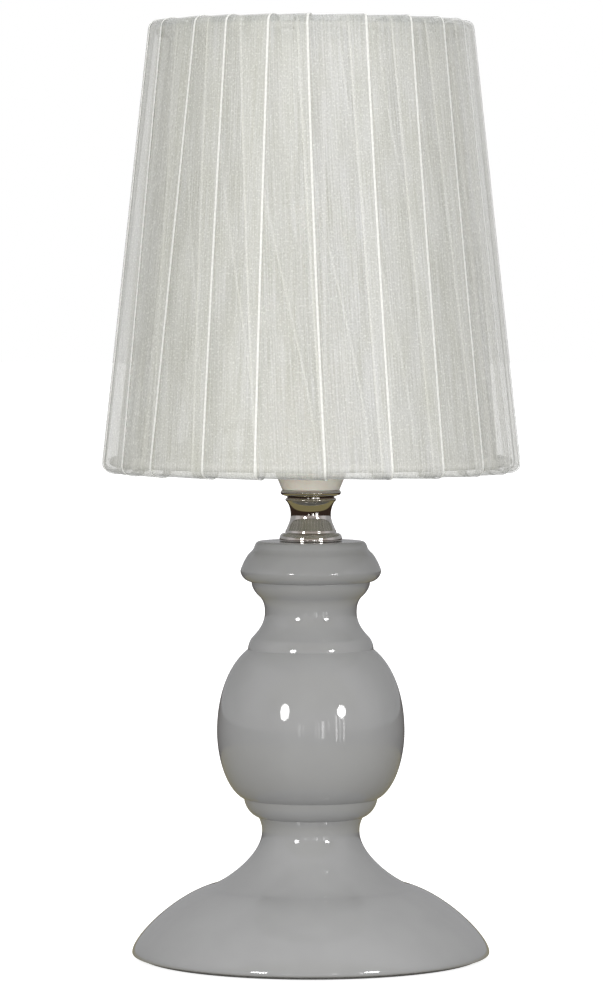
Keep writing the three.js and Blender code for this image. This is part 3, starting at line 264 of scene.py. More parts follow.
@dataclass(frozen=True)
class SheerRibbon:
    """Organza ribbon, plain woven from fine shiny filament, with dense white edges.

    Across and along are the two axes of the UV map, in millimetres. The light gets through between the
    threads. The real ones are 0.15 mm apart, too fine to show, so the streaks here are drawn coarser. sheen
    is its weight and its roughness, cool how much a turn's tint lightens it, and apart how far apart in the
    noise the turns are.
    """

    name: str = "woven_organza_ribbon"
    slot: str = "sheer_ribbon"
    colour: str = "#eeeee2"
    second: str = "#ffffff"
    # Painted shade: the grey laid on the hems, where the ribbon goes over the rings.
    hem_shade_colour: str = "#a4aaa8"
    # The white of the dense edges, also used for the painted glints.
    edge_and_glint_colour: str = "#fffffa"
    width: float = 25.0
    edge_width: float = 0.85
    edge_bead: float = 1.9
    streak: tuple[float, float] = (0.5, 30.0)
    thread: tuple[float, float] = (0.4, 0.7)
    cloud: tuple[float, float] = (6.0, 22.0)
    # Painted glints: the size of the white specks, their share of the colour and the opacity they add.
    glint_grain: tuple[float, float] = (0.7, 0.8)
    glint_share: float = 0.42
    opacity: tuple[float, float] = (0.28, 0.42)
    glint_opacity: float = 0.25
    hem_opacity: float = 0.45
    cool: float = 0.16
    apart: float = 50.0
    edge_relief: float = 0.8
    relief: float = 0.1
    sheen: tuple[float, float] = (1.0, 0.5)

    def noise(self, tree: Tree, place: Node, size: Point, detail: float) -> Node:
        """Add noise of a size across and along the ribbon, in millimetres."""
        scale = (1 / size[0], 1 / size[1], 1.0)
        mapping = add_node(tree, "ShaderNodeMapping", {"Vector": place, "Scale": scale})
        return add_node(tree, "ShaderNodeTexNoise", {"Vector": mapping, "Scale": 1.0, "Detail": detail})

    def edges(self, tree: Tree, across: Socket, along: Socket) -> Node:
        """Mark the ribbon's two dense edges, whose threads stand side by side like small beads."""
        other = add_node(tree, MATH, (self.width, across), operation="SUBTRACT")
        nearer = add_node(tree, MATH, (across, other), operation="MINIMUM")
        limits = (0.7 * self.edge_width, 1.2 * self.edge_width)
        edge = add_node(tree, RANGE, (nearer, *limits, 1.0, 0.0), **SMOOTH)
        turn = add_node(tree, MATH, (along, 2 * math.pi / self.edge_bead), operation="MULTIPLY")
        wave = add_node(tree, MATH, (turn,), operation="SINE")
        beads = add_node(tree, RANGE, (wave, -1.0, 1.0, 0.93, 1.0), **SMOOTH)
        return add_node(tree, MATH, (edge, beads), operation="MULTIPLY")

    def build(self) -> Material:
        """Make the material.

        Returns:
            The new material.
        """
        material = new_material(self.name)
        tree = material.node_tree
        uv = add_node(tree, "ShaderNodeUVMap", uv_map="weave")
        tint, hem = (
            add_node(tree, "ShaderNodeAttribute", attribute_name=name).outputs["Fac"]
            for name in ("tint", "hem")
        )
        across, along, _ = add_node(tree, "ShaderNodeSeparateXYZ", (uv,)).outputs
        apart = add_node(tree, MATH, (tint, self.apart), operation="MULTIPLY")
        place = add_node(tree, "ShaderNodeCombineXYZ", (across, along, apart))
        edges = self.edges(tree, across, along)
        streaks = self.noise(tree, place, self.streak, 2.0)
        threads = self.noise(tree, place, self.thread, 1.0)
        clouds = self.noise(tree, place, self.cloud, 2.0)
        weave = add_node(tree, MATH, (threads, 0.4), operation="MULTIPLY")
        weave = add_node(tree, MATH, (streaks, 0.6, weave), operation="MULTIPLY_ADD")
        light = add_node(tree, MATH, (clouds, 0.3), operation="MULTIPLY")
        light = add_node(tree, MATH, (weave, 0.7, light), operation="MULTIPLY_ADD")
        light = add_node(tree, MATH, (tint, self.cool, light), operation="MULTIPLY_ADD")
        pale = add_node(tree, RANGE, (light, 0.35, 0.85, 0.0, 1.0), **SMOOTH)
        # Painted glints: small white specks laid on the colour where the shiny threads would glitter, and made
        # more opaque.
        painted_glints = self.noise(tree, place, self.glint_grain, 0.0)
        painted_glints = add_node(tree, RANGE, (painted_glints, 0.6, 0.72, 0.0, self.glint_share), **SMOOTH)
        uneven = add_node(tree, RANGE, (clouds, 0.35, 0.6, 0.35, 1.0), **SMOOTH)
        # Painted shade on the hems, made uneven by the clouds: a band at the top ring and a line along the
        # bottom edge.
        hem_shade = add_node(tree, MATH, (hem, uneven), operation="MULTIPLY")
        colour = linear(self.colour)
        layers = (
            (pale, self.second),
            (painted_glints, self.edge_and_glint_colour),
            (hem_shade, self.hem_shade_colour),
            (edges, self.edge_and_glint_colour),
        )
        for share, over in layers:
            colour = add_node(tree, MIX, {0: share, FIRST: colour, SECOND: linear(over)}, **COLOURS)
        opacity = add_node(tree, RANGE, (weave, 0.35, 0.65, *self.opacity), **SMOOTH)
        opacity = add_node(tree, MATH, (painted_glints, self.glint_opacity, opacity), operation="MULTIPLY_ADD")
        doubled = add_node(tree, MATH, (hem, self.hem_opacity), operation="MULTIPLY")
        doubled = add_node(tree, MATH, (edges, doubled), operation="MAXIMUM")
        height = add_node(tree, MATH, (edges, self.edge_relief, weave), operation="MULTIPLY_ADD")
        bump = {"Height": height, "Distance": self.relief * MM, "Strength": 0.5}
        inputs = {
            "Base Color": colour,
            "Alpha": add_node(tree, MATH, (opacity, doubled), operation="MAXIMUM"),
            "Roughness": add_node(tree, RANGE, (threads, 0.3, 0.7, 0.38, 0.6), **SMOOTH),
            "Normal": add_node(tree, "ShaderNodeBump", bump),
            "Sheen Weight": self.sheen[0],
            "Sheen Roughness": self.sheen[1],
            "IOR": 1.5,
        }
        set_inputs(tree, tree.nodes["Principled BSDF"], inputs)
        return material


SHEER_RIBBON = SheerRibbon()


@lru_cache(maxsize=None)
def material_of(finish: Finish | SheerRibbon) -> Material:
    """Make a finish's material once."""
    return finish.build()


class Section:
    """The half section of a turned piece, as radius and height in millimetres."""

    def __init__(self, radius: float, height: float) -> None:
        """Start at a point."""
        self.points: list[Point] = [(radius, height)]

    def to(self, radius: float, height: float) -> "Section":
        """Go straight to a point."""
        self.points.append((radius, height))
        return self

    def bend(self, pull: Point, radius: float, height: float, end_pull: Point, steps: int = 14) -> "Section":
        """Go to a point on a curve.

        Args:
            pull: The way from the start to its handle.
            radius: The end's radius.
            height: The end's height.
            end_pull: The way from the end to its handle.
            steps: How many points the curve has.

        Returns:
            This section.
        """
        start = np.array(self.points[-1])
        end = np.array((radius, height))
        handles = (start, start + pull, end + end_pull, end)
        for i in range(1, steps + 1):
            t = i / steps
            weights = ((1 - t) ** 3, 3 * t * (1 - t) ** 2, 3 * t * t * (1 - t), t**3)
            point = sum(weight * handle for weight, handle in zip(weights, handles))
            self.points.append((float(point[0]), float(point[1])))
        return self

    def corner(self, corner: Point, radius: float, height: float, steps: int = 7) -> "Section":
        """Go to a point on a curve that touches both sides of a corner."""
        start = self.points[-1]
        pull = (2 / 3 * (corner[0] - start[0]), 2 / 3 * (corner[1] - start[1]))
        end_pull = (2 / 3 * (corner[0] - radius), 2 / 3 * (corner[1] - height))
        return self.bend(pull, radius, height, end_pull, steps)

    def wall(self, radius: float, height: float, pitch: float, rows: int = 12) -> "Section":
        """Go straight to a point in even steps, with so many rows for each pitch of a thread."""
        start = self.points[-1]
        count = max(2, round(rows * abs(height - start[1]) / pitch))
        for i in range(1, count + 1):
            share = i / count
            across, up = radius - start[0], height - start[1]
            self.points.append((start[0] + share * across, start[1] + share * up))
        return self


def softened(points: Sequence[Point], reach: float, steps: int = 4) -> list[Point]:
    """Round the corners of a closed half section, except those on the axis.

    Args:
        points: The corners in order.
        reach: How far from a corner its rounding starts, in millimetres.
        steps: How many points each rounding has.

    Returns:
        The rounded outline.
    """
    rounded: list[Point] = []
    for i, point in enumerate(points):
        before, at, after = (np.array(p) for p in (points[i - 1], point, points[(i + 1) % len(points)]))
        back, on = before - at, after - at
        lengths = (np.linalg.norm(back), np.linalg.norm(on))
        if at[0] < SMALL or min(lengths) < SMALL:
            rounded.append(point)
            continue
        start = at + back * min(reach / lengths[0], 0.45)
        end = at + on * min(reach / lengths[1], 0.45)
        for k in range(steps + 1):
            t = k / steps
            place = (1 - t) ** 2 * start + 2 * t * (1 - t) * at + t * t * end
            rounded.append((float(place[0]), float(place[1])))
    return rounded


def make_object(name: str, vertices: Sequence, faces: Sequence, outwards: bool = True) -> Piece:
    """Make a smooth object from vertices in metres.

    Args:
        name: The piece's name.
        vertices: The corners.
        faces: For each face, the numbers of its corners.
        outwards: Whether to turn all faces outwards.

    Returns:
        The new object, at the origin.
    """
    mesh = bpy.data.meshes.new(name)
    mesh.from_pydata([tuple(v) for v in vertices], [], [tuple(f) for f in faces])
    if outwards:
        turn_outwards(mesh)
    smooth(mesh)
    piece = bpy.data.objects.new(name, mesh)
    bpy.context.scene.collection.objects.link(piece)
    return piece


def turn_outwards(mesh: bpy.types.Mesh) -> None:
    """Turn all faces of a closed mesh outwards."""
    work = bmesh.new()
    work.from_mesh(mesh)
    bmesh.ops.recalc_face_normals(work, faces=work.faces)
    work.to_mesh(mesh)
    work.free()


def smooth(mesh: bpy.types.Mesh) -> None:
    """Shade a mesh smooth, apart from its sharp edges."""
    mesh.polygons.foreach_set("use_smooth", [True] * len(mesh.polygons))
    mesh.set_sharp_from_angle(angle=SMOOTH_ANGLE)


def turned(name: str, points: Sequence[Point], sides: int = 96) -> Piece:
    """Turn a half section about the axis of the lamp.

    Args:
        name: The piece's name.
        points: The section, closed on itself or from axis to axis.
        sides: How many sides the piece has.

    Returns:
        The new object.
    """
    vertices: list[tuple[float, float, float]] = []
    rows: list[list[int]] = []
    for radius, height in points:
        count = 1 if radius < SMALL else sides
        rows.append(list(range(len(vertices), len(vertices) + count)))
        for k in range(count):
            angle = 2 * math.pi * k / sides
            vertices.append((radius * math.cos(angle) * MM, radius * math.sin(angle) * MM, height * MM))
    on_axis = points[0][0] < SMALL and points[-1][0] < SMALL
    pairs = list(zip(rows, rows[1:]))
    if not on_axis:
        pairs.append((rows[-1], rows[0]))
    faces = []
    for low, high in pairs:
        for k in range(sides):
            on = k + 1
            corners = (low[k % len(low)], low[on % len(low)], high[on % len(high)], high[k % len(high)])
            kept = [c for i, c in enumerate(corners) if c != corners[i - 1]]
            if len(kept) > 2:
                faces.append(kept)
    return make_object(name, vertices, faces)


def points_of(piece: Piece) -> np.ndarray:
    """Read a piece's points, in millimetres."""
    places = np.empty(3 * len(piece.data.vertices))
    piece.data.vertices.foreach_get("co", places)
    return places.reshape(-1, 3) / MM


def move_points(piece: Piece, places: np.ndarray) -> None:
    """Move a piece's points to places in millimetres."""
    piece.data.vertices.foreach_set("co", (places * MM).ravel())
    piece.data.update()


def tube_faces(rows: int, sides: int, closed: bool = False) -> list[tuple[int, int, int, int]]:
    """Number the faces between rows of points that each go round. The last row may meet the first."""
    faces = []
    for i in range(rows if closed else rows - 1):
        after = (i + 1) % rows
        for k in range(sides):
            on = (k + 1) % sides
            faces.append((i * sides + k, i * sides + on, after * sides + on, after * sides + k))
    return faces


def press_thread(piece: Piece, radius: float, depth: float, pitch: float, low: float, high: float) -> Piece:
    """Press a right-hand thread into the wall of a turned piece.

    Args:
        piece: A piece with rows of points on that wall.
        radius: The wall's radius.
        depth: Half of the thread's depth.
        pitch: The thread's pitch.
        low: Where the thread starts. It fades in and out over half a turn.
        high: Where it ends.

    Returns:
        The piece.
    """
    places = points_of(piece)
    heights = places[:, 2]
    radii = np.hypot(places[:, 0], places[:, 1])
    angles = np.arctan2(places[:, 1], places[:, 0])
    chosen = (np.abs(radii - radius) < 0.01) & (heights > low) & (heights < high)
    fade = np.minimum(1, np.minimum(heights - low, high - heights) / (pitch / 2))
    grown = radius + fade * depth * np.cos(2 * math.pi * heights / pitch - angles)
    places[chosen, 0] = (grown * np.cos(angles))[chosen]
    places[chosen, 1] = (grown * np.sin(angles))[chosen]
    move_points(piece, places)
    return piece


def swept(name: str, points: Sequence[Sequence[float]], radius: float, sides: int = 16) -> Piece:
    """Sweep a round wire with rounded ends along points.

    Args:
        name: The piece's name.
        points: The middle of the wire, in millimetres.
        radius: The wire's radius, in millimetres.
        sides: How many sides the wire has.

    Returns:
        The new object.
    """
    path = [Vector(p) for p in points]
    first, last = (path[0] - path[1]).normalized(), (path[-1] - path[-2]).normalized()
    caps = [(math.sin(a), math.cos(a)) for a in (math.pi / 8, math.pi / 4, 3 * math.pi / 8)]
    rings = [(path[0] + first * radius * out, radius * wide) for out, wide in reversed(caps)]
    rings += [(p, radius) for p in path]
    rings += [(path[-1] + last * radius * out, radius * wide) for out, wide in caps]
    ahead = [rings[min(i + 1, len(rings) - 1)][0] - rings[max(i - 1, 0)][0] for i in range(len(rings))]
    side = ahead[0].orthogonal().normalized()
    vertices = []
    for (centre, wide), direction in zip(rings, ahead):
        direction = direction.normalized()
        side = (side - direction * side.dot(direction)).normalized()
        up = direction.cross(side)
        for k in range(sides):
            angle = 2 * math.pi * k / sides
            vertices.append((centre + (side * math.cos(angle) + up * math.sin(angle)) * wide) * MM)
    faces: list[tuple[int, ...]] = tube_faces(len(rings), sides)
    tips = (len(vertices), len(vertices) + 1)
    vertices += [(path[0] + first * radius) * MM, (path[-1] + last * radius) * MM]
    end = (len(rings) - 1) * sides
    for k in range(sides):
        faces.append((tips[0], (k + 1) % sides, k))
        faces.append((tips[1], end + k, end + (k + 1) % sides))
    return make_object(name, vertices, faces)


def wire_ring(radius: float, height: float, wire: float, count: int = 16) -> list[Point]:
    """Make the half section of a round wire ring."""
    turns = [2 * math.pi * k / count for k in range(count)]
    return [(radius + wire * math.cos(a), height + wire * math.sin(a)) for a in turns]


def mark_points(mesh: bpy.types.Mesh, marks: dict[str, list[float]]) -> None:
    """Store named values on a mesh's points."""
    for name, values in marks.items():
        mesh.attributes.new(name, "FLOAT", "POINT").data.foreach_set("value", values)


def joined(name: str, pieces: Sequence[Piece]) -> Piece:
    """Join pieces into one new object.

    Args:
        name: The new piece's name.
        pieces: What is joined. These objects are removed.

    Returns:
        The new object.
    """
    work = bmesh.new()
    for piece in pieces:
        work.from_mesh(piece.data)
        bpy.data.objects.remove(piece)
    mesh = bpy.data.meshes.new(name)
    work.to_mesh(mesh)
    work.free()
    smooth(mesh)
    whole = bpy.data.objects.new(name, mesh)
    bpy.context.scene.collection.objects.link(whole)
    return whole


def plain_mesh(piece: Piece) -> Piece:
    """Turn a piece with modifiers into a plain mesh, in place."""
    evaluated = piece.evaluated_get(bpy.context.evaluated_depsgraph_get())
    mesh = bpy.data.meshes.new_from_object(evaluated)
    piece.modifiers.clear()
    piece.data = mesh
    mesh.name = piece.name
    smooth(mesh)
    return piece


def finish_piece(piece: Piece, finish: Finish | SheerRibbon, body: Body, *nodes: str) -> Piece:
    """Dress a piece, put it on its body and hide the solids that it stands for.

    Args:
        piece: The finished mesh.
        finish: What it is made of.
        body: The body that it rides on.
        nodes: The names of those solids.

    Returns:
        The piece.
    """
    piece.data.materials.clear()
    piece.data.materials.append(material_of(finish))
    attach(piece, body.value)
    if nodes:
        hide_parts(*nodes)
    LOG.info("%s: %d faces on %s", piece.name, len(piece.data.polygons), body.value)
    return piece


def dress_solids(finishes: dict[str, Finish]) -> None:
    """Give solids that stay as they are their finishes."""
    for node, finish in finishes.items():
        for slot in frame["nodes"][node].material_slots:
            slot.material = material_of(finish)
        LOG.info("%s: dressed as %s", node, finish.name)


def low_of(node: str) -> float:
    """Height of a solid's underside, in millimetres."""
    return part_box(node)[0].z / MM


def high_of(node: str) -> float:
    """Height of a solid's top, in millimetres."""
    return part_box(node)[1].z / MM


def group_input(tree: Tree, name: str, kind: str, value: float) -> None:
    """Give a Geometry Nodes tree a named input with its default."""
    socket = tree.interface.new_socket(name, in_out="INPUT", socket_type=kind)
    socket.default_value = value


def new_tree(name: str) -> tuple[Tree, Node]:
    """Start a Geometry Nodes tree that takes and gives geometry.

    Returns:
        The tree and its Group Output.
    """
    tree = bpy.data.node_groups.new(name, "GeometryNodeTree")
    tree.interface.new_socket("Geometry", in_out="INPUT", socket_type="NodeSocketGeometry")
    tree.interface.new_socket("Geometry", in_out="OUTPUT", socket_type="NodeSocketGeometry")
    return tree, add_node(tree, "NodeGroupOutput")


@lru_cache(maxsize=None)
def around_tree() -> Tree:
    """Make the tree that repeats a mesh around the axis of the lamp.

    Start Angle turns the first copy, and the others follow in even steps.
    """
    tree, output = new_tree("repeat_around_axis")
    group_input(tree, "Count", "NodeSocketInt", 6)
    group_input(tree, "Start Angle", "NodeSocketFloat", 0.0)
    tree.interface.new_socket("Material", in_out="INPUT", socket_type="NodeSocketMaterial")
    given = add_node(tree, "NodeGroupInput").outputs
    points = add_node(tree, "GeometryNodePoints", {"Count": given["Count"]})
    index = add_node(tree, "GeometryNodeInputIndex")
    step = add_node(tree, MATH, (2 * math.pi, given["Count"]), operation="DIVIDE")
    angle = add_node(tree, MATH, (index, step, given["Start Angle"]), operation="MULTIPLY_ADD")
    rotation = add_node(tree, "ShaderNodeCombineXYZ", {2: angle})
    inputs = {"Points": points, "Instance": given["Geometry"], "Rotation": rotation}
    copies = add_node(tree, "GeometryNodeInstanceOnPoints", inputs)
    real = add_node(tree, "GeometryNodeRealizeInstances", (copies,))
    dressed = add_node(tree, "GeometryNodeSetMaterial", {"Geometry": real, "Material": given["Material"]})
    set_inputs(tree, output, (dressed,))
    return tree


def winding_tree() -> Tree:
    """Make the tree that winds a ribbon.

    It sets one Turn on each station, a point that carries the turn's shifts at the bottom and at the top, and
    the next turn's at the bottom. It turns each point about the axis by its share of them, and welds the ends.
    """
    tree, output = new_tree("wind_ribbon")
    group_input(tree, "Pitch", "NodeSocketFloat", 0.1)
    group_input(tree, "Weld", "NodeSocketFloat", 0.0)
    tree.interface.new_socket("Turn", in_out="INPUT", socket_type="NodeSocketObject")
    tree.interface.new_socket("Material", in_out="INPUT", socket_type="NodeSocketMaterial")
    given = add_node(tree, "NodeGroupInput").outputs
    turn = add_node(tree, "GeometryNodeObjectInfo", {"Object": given["Turn"]})
    index = add_node(tree, "GeometryNodeInputIndex")
    angle = add_node(tree, MATH, (index, given["Pitch"]), operation="MULTIPLY")
    rotation = add_node(tree, "ShaderNodeCombineXYZ", {2: angle})
    inputs = {"Points": given["Geometry"], "Instance": turn.outputs["Geometry"], "Rotation": rotation}
    copies = add_node(tree, "GeometryNodeInstanceOnPoints", inputs)
    real = add_node(tree, "GeometryNodeRealizeInstances", (copies,))
    low, high, next_low, rise, inside = (
        add_node(tree, "GeometryNodeInputNamedAttribute", (name,), data_type="FLOAT")
        for name in ("shift_low", "shift_high", "shift_next", "rise", "inside")
    )
    foot = add_node(tree, MIX, {0: inside, 2: low, 3: next_low}, data_type="FLOAT")
    shift = add_node(tree, MIX, {0: rise, 2: foot, 3: high}, data_type="FLOAT")
    inputs = {"Vector": add_node(tree, "GeometryNodeInputPosition"), "Angle": shift}
    moved = add_node(tree, "ShaderNodeVectorRotate", inputs, rotation_type="Z_AXIS")
    shifted = add_node(tree, "GeometryNodeSetPosition", {"Geometry": real, "Position": moved})
    welded = add_node(tree, "GeometryNodeMergeByDistance", {"Geometry": shifted, "Distance": given["Weld"]})
    dressed = add_node(tree, "GeometryNodeSetMaterial", {"Geometry": welded, "Material": given["Material"]})
    set_inputs(tree, output, (dressed,))
    return tree


def through_tree(piece: Piece, tree: Tree, values: dict[str, object]) -> Piece:
    """Send a piece through a Geometry Nodes tree.

    Args:
        piece: The piece.
        tree: The tree.
        values: The tree's inputs, by name.

    Returns:
        The piece, as one plain mesh.
    """
    modifier = piece.modifiers.new(tree.name, "NODES")
    modifier.node_group = tree
    for item in tree.interface.items_tree:
        if item.name in values:
            modifier[item.identifier] = values[item.name]
    return plain_mesh(piece)


def repeated(piece: Piece, count: int, finish: Finish, start: float = 0.0) -> Piece:
    """Repeat a piece around the axis of the lamp.

    Args:
        piece: The piece to repeat.
        count: How many copies there are.
        finish: What they are made of.
        start: The first one's angle.

    Returns:
        The piece, as one plain mesh.
    """
    values = {"Count": count, "Start Angle": start, "Material": material_of(finish)}
    return through_tree(piece, around_tree(), values)


@dataclass(frozen=True)
class Lamp:
    """A lamp of the studio. Its glow is its brightness, where white paper has 1.

    It lights the matt surfaces, or else it is only mirrored in the glossy ones.
    """

    name: str
    azimuth: float
    height: float
    size: Point
    glow: float
    mirrored: bool = True
    distance: float = 2.0
    shape: str = "ELLIPSE"

    def hang(self) -> None:
        """Hang the lamp at its azimuth, in degrees to the right of the front, and turn it to the axis."""
        data = bpy.data.lights.new(self.name, "AREA")
        data.shape = self.shape
        data.size, data.size_y = self.size
        share = math.pi / 4 if self.shape == "ELLIPSE" else 1.0
        data.energy = self.glow * math.pi * share * self.size[0] * self.size[1]
        lamp = bpy.data.objects.new(self.name, data)
        turn = math.radians(self.azimuth)
        lamp.location = (math.sin(turn) * self.distance, -math.cos(turn) * self.distance, self.height)
        away = lamp.location - Vector((0, 0, min(self.height, LAMP_AIM)))
        lamp.rotation_euler = away.to_track_quat("Z", "Y").to_euler()
        lamp.visible_glossy = self.mirrored
        lamp.visible_diffuse = not self.mirrored
        bpy.context.scene.collection.objects.link(lamp)


LAMP_AIM = 0.12
LAMPS = (
    Lamp("left_softbox", -33, 0.58, (0.40, 0.46), 28),
    Lamp("right_softbox", 39, 0.58, (0.38, 0.34), 28),
    Lamp("front_fill", -1, 0.17, (1.5, 0.6), 8.8, mirrored=False),
    Lamp("top_fill", 0, 2.2, (1.6, 1.6), 1.6, mirrored=False),
)
# Upright strips of a far window, as they are mirrored in the belly: azimuth, low end, high end, width, glow.
WINDOW_STRIPS = (
    (30.6, 0.01, 0.21, 0.018, 6.0),
    (35.0, 0.01, 0.20, 0.012, 3.6),
    (39.8, 0.01, 0.20, 0.014, 6.0),
    (21.5, 0.10, 0.17, 0.010, 3.0),
    (14.2, 0.035, 0.165, 0.030, 5.0),
    (9.5, 0.04, 0.15, 0.010, 3.2),
    (6.0, 0.04, 0.15, 0.008, 3.0),
    (-8.6, 0.05, 0.14, 0.012, 2.0),
    (-13.3, 0.05, 0.14, 0.024, 2.2),
)

# The room as it is mirrored. In front it is pale up to the height of the lamps and olive above them, at the
# sides it is pale, and behind it is grey. Each row: the direction's axis, where the tone starts and is full,
# and the tone.
ROOM_TONES = (
    (2, 0.2, 0.32, "#877f62"),
    (1, -0.6, -0.3, "#d2cfd2"),
    (1, -0.1, 0.3, "#a8a8aa"),
)


@dataclass
class Studio:
    """Camera, lamps, floor and surroundings."""

    camera_height: float = 246.65
    camera_distance: float = 1800.0
    camera_x: float = -3.35
    focal_px: float = 5000.0
    frame_px: float = 1000.0
    horizon_px: float = 273.6
    sensor: float = 36.0
    ambient: float = 0.7
    table_edge: float = 0.4
    floor_size: float = 12.0
    floor_gap: float = 0.2
    floor_glow: float = 0.85
    strip_distance: float = 0.6

    def camera(self) -> None:
        """Stand the camera where the photograph was taken from."""
        data = bpy.data.cameras.new("camera")
        data.sensor_width = self.sensor
        data.lens = self.focal_px * self.sensor / self.frame_px
        data.clip_end = 100
        camera = bpy.data.objects.new("camera", data)
        camera.location = (self.camera_x * MM, -self.camera_distance * MM, self.camera_height * MM)
        pitch = math.atan((self.frame_px / 2 - self.horizon_px) / self.focal_px)
        camera.rotation_euler = (math.pi / 2 - pitch, 0, 0)
        bpy.context.scene.collection.objects.link(camera)
        bpy.context.scene.camera = camera

    def lamps(self) -> None:
        """Hang the lamps, and the strips of the window."""
        for lamp in LAMPS:
            lamp.hang()
        for i, (azimuth, low, high, width, glow) in enumerate(WINDOW_STRIPS):
            strip = Lamp(
                f"window_{i + 1}",
                azimuth,
                (low + high) / 2,
                (width, high - low),
                glow,
                distance=self.strip_distance,
                shape="RECTANGLE",
            )
            strip.hang()

    def surroundings(self) -> None:
        """Make the world: white to look at, an even fill on matt surfaces, and a room for glossy ones."""
        world = bpy.data.worlds.new("studio")
        bpy.context.scene.world = world
        world.use_nodes = True
        tree = world.node_tree
        tree.nodes.clear()
        path = add_node(tree, "ShaderNodeLightPath").outputs
        direction = add_node(tree, "ShaderNodeTexCoord").outputs["Generated"]
        axes = add_node(tree, "ShaderNodeSeparateXYZ", (direction,)).outputs
        room = linear("#b9b2b0")
        for axis, low, high, colour in ROOM_TONES:
            share = add_node(tree, RANGE, (axes[axis], low, high, 0.0, 1.0), **SMOOTH)
            room = add_node(tree, MIX, {0: share, FIRST: room, SECOND: linear(colour)}, **COLOURS)
        fill = (self.ambient, self.ambient, self.ambient, 1.0)
        lit = add_node(tree, MIX, {0: path["Is Glossy Ray"], FIRST: fill, SECOND: room}, **COLOURS)
        straight = (path["Is Camera Ray"], path["Is Transmission Ray"])
        seen = add_node(tree, MATH, straight, operation="MAXIMUM")
        whole = add_node(tree, MIX, {0: seen, FIRST: lit, SECOND: linear("#ffffff")}, **COLOURS)
        background = add_node(tree, "ShaderNodeBackground", {"Color": whole, "Strength": 1.0})
        add_node(tree, "ShaderNodeOutputWorld", (background,))

    def floor(self) -> None:
        """Lay the pale floor. It looks white and keeps the lamp's shadow, and gloss shows an olive table."""
        half = self.floor_size
        signs = ((-1, -1), (1, -1), (1, 1), (-1, 1))
        corners = [(x * half, y * half, -self.floor_gap * MM) for x, y in signs]
        floor = make_object("floor", corners, [(0, 1, 2, 3)], outwards=False)
        material = new_material("matt_white_paper")
        tree = material.node_tree
        tree.nodes.clear()
        path = add_node(tree, "ShaderNodeLightPath").outputs
        place = add_node(tree, "ShaderNodeTexCoord").outputs["Object"]
        away = add_node(tree, "ShaderNodeVectorMath", (place,), operation="LENGTH").outputs["Value"]
        beyond = add_node(tree, RANGE, (away, self.table_edge, 1.2 * self.table_edge, 0.0, 1.0), **SMOOTH)
        table = {0: beyond, FIRST: linear("#8d8562"), SECOND: linear("#3a2e28")}
        mirrored = add_node(tree, MIX, table, **COLOURS)
        straight = (path["Is Camera Ray"], path["Is Transmission Ray"])
        seen = add_node(tree, MATH, straight, operation="MAXIMUM")
        tones = {0: seen, FIRST: linear("#a0a09e"), SECOND: linear("#e4e4e4")}
        tone = add_node(tree, MIX, tones, **COLOURS)
        paper = add_node(tree, "ShaderNodeBsdfDiffuse", {"Color": tone})
        shine = add_node(tree, MATH, (seen, self.floor_glow), operation="MULTIPLY")
        glow = add_node(tree, "ShaderNodeEmission", {"Strength": shine})
        both = add_node(tree, "ShaderNodeAddShader", (paper, glow))
        mirror = add_node(tree, "ShaderNodeEmission", {"Color": mirrored, "Strength": 1.0})
        whole = add_node(tree, "ShaderNodeMixShader", (path["Is Glossy Ray"], both, mirror))
        add_node(tree, "ShaderNodeOutputMaterial", (whole,))
        floor.data.materials.append(material)

    def build(self) -> None:
        """Set up all of it."""
        bpy.context.scene.view_settings.view_transform = "Standard"
        self.camera()
        self.lamps()
        self.surroundings()
        self.floor()


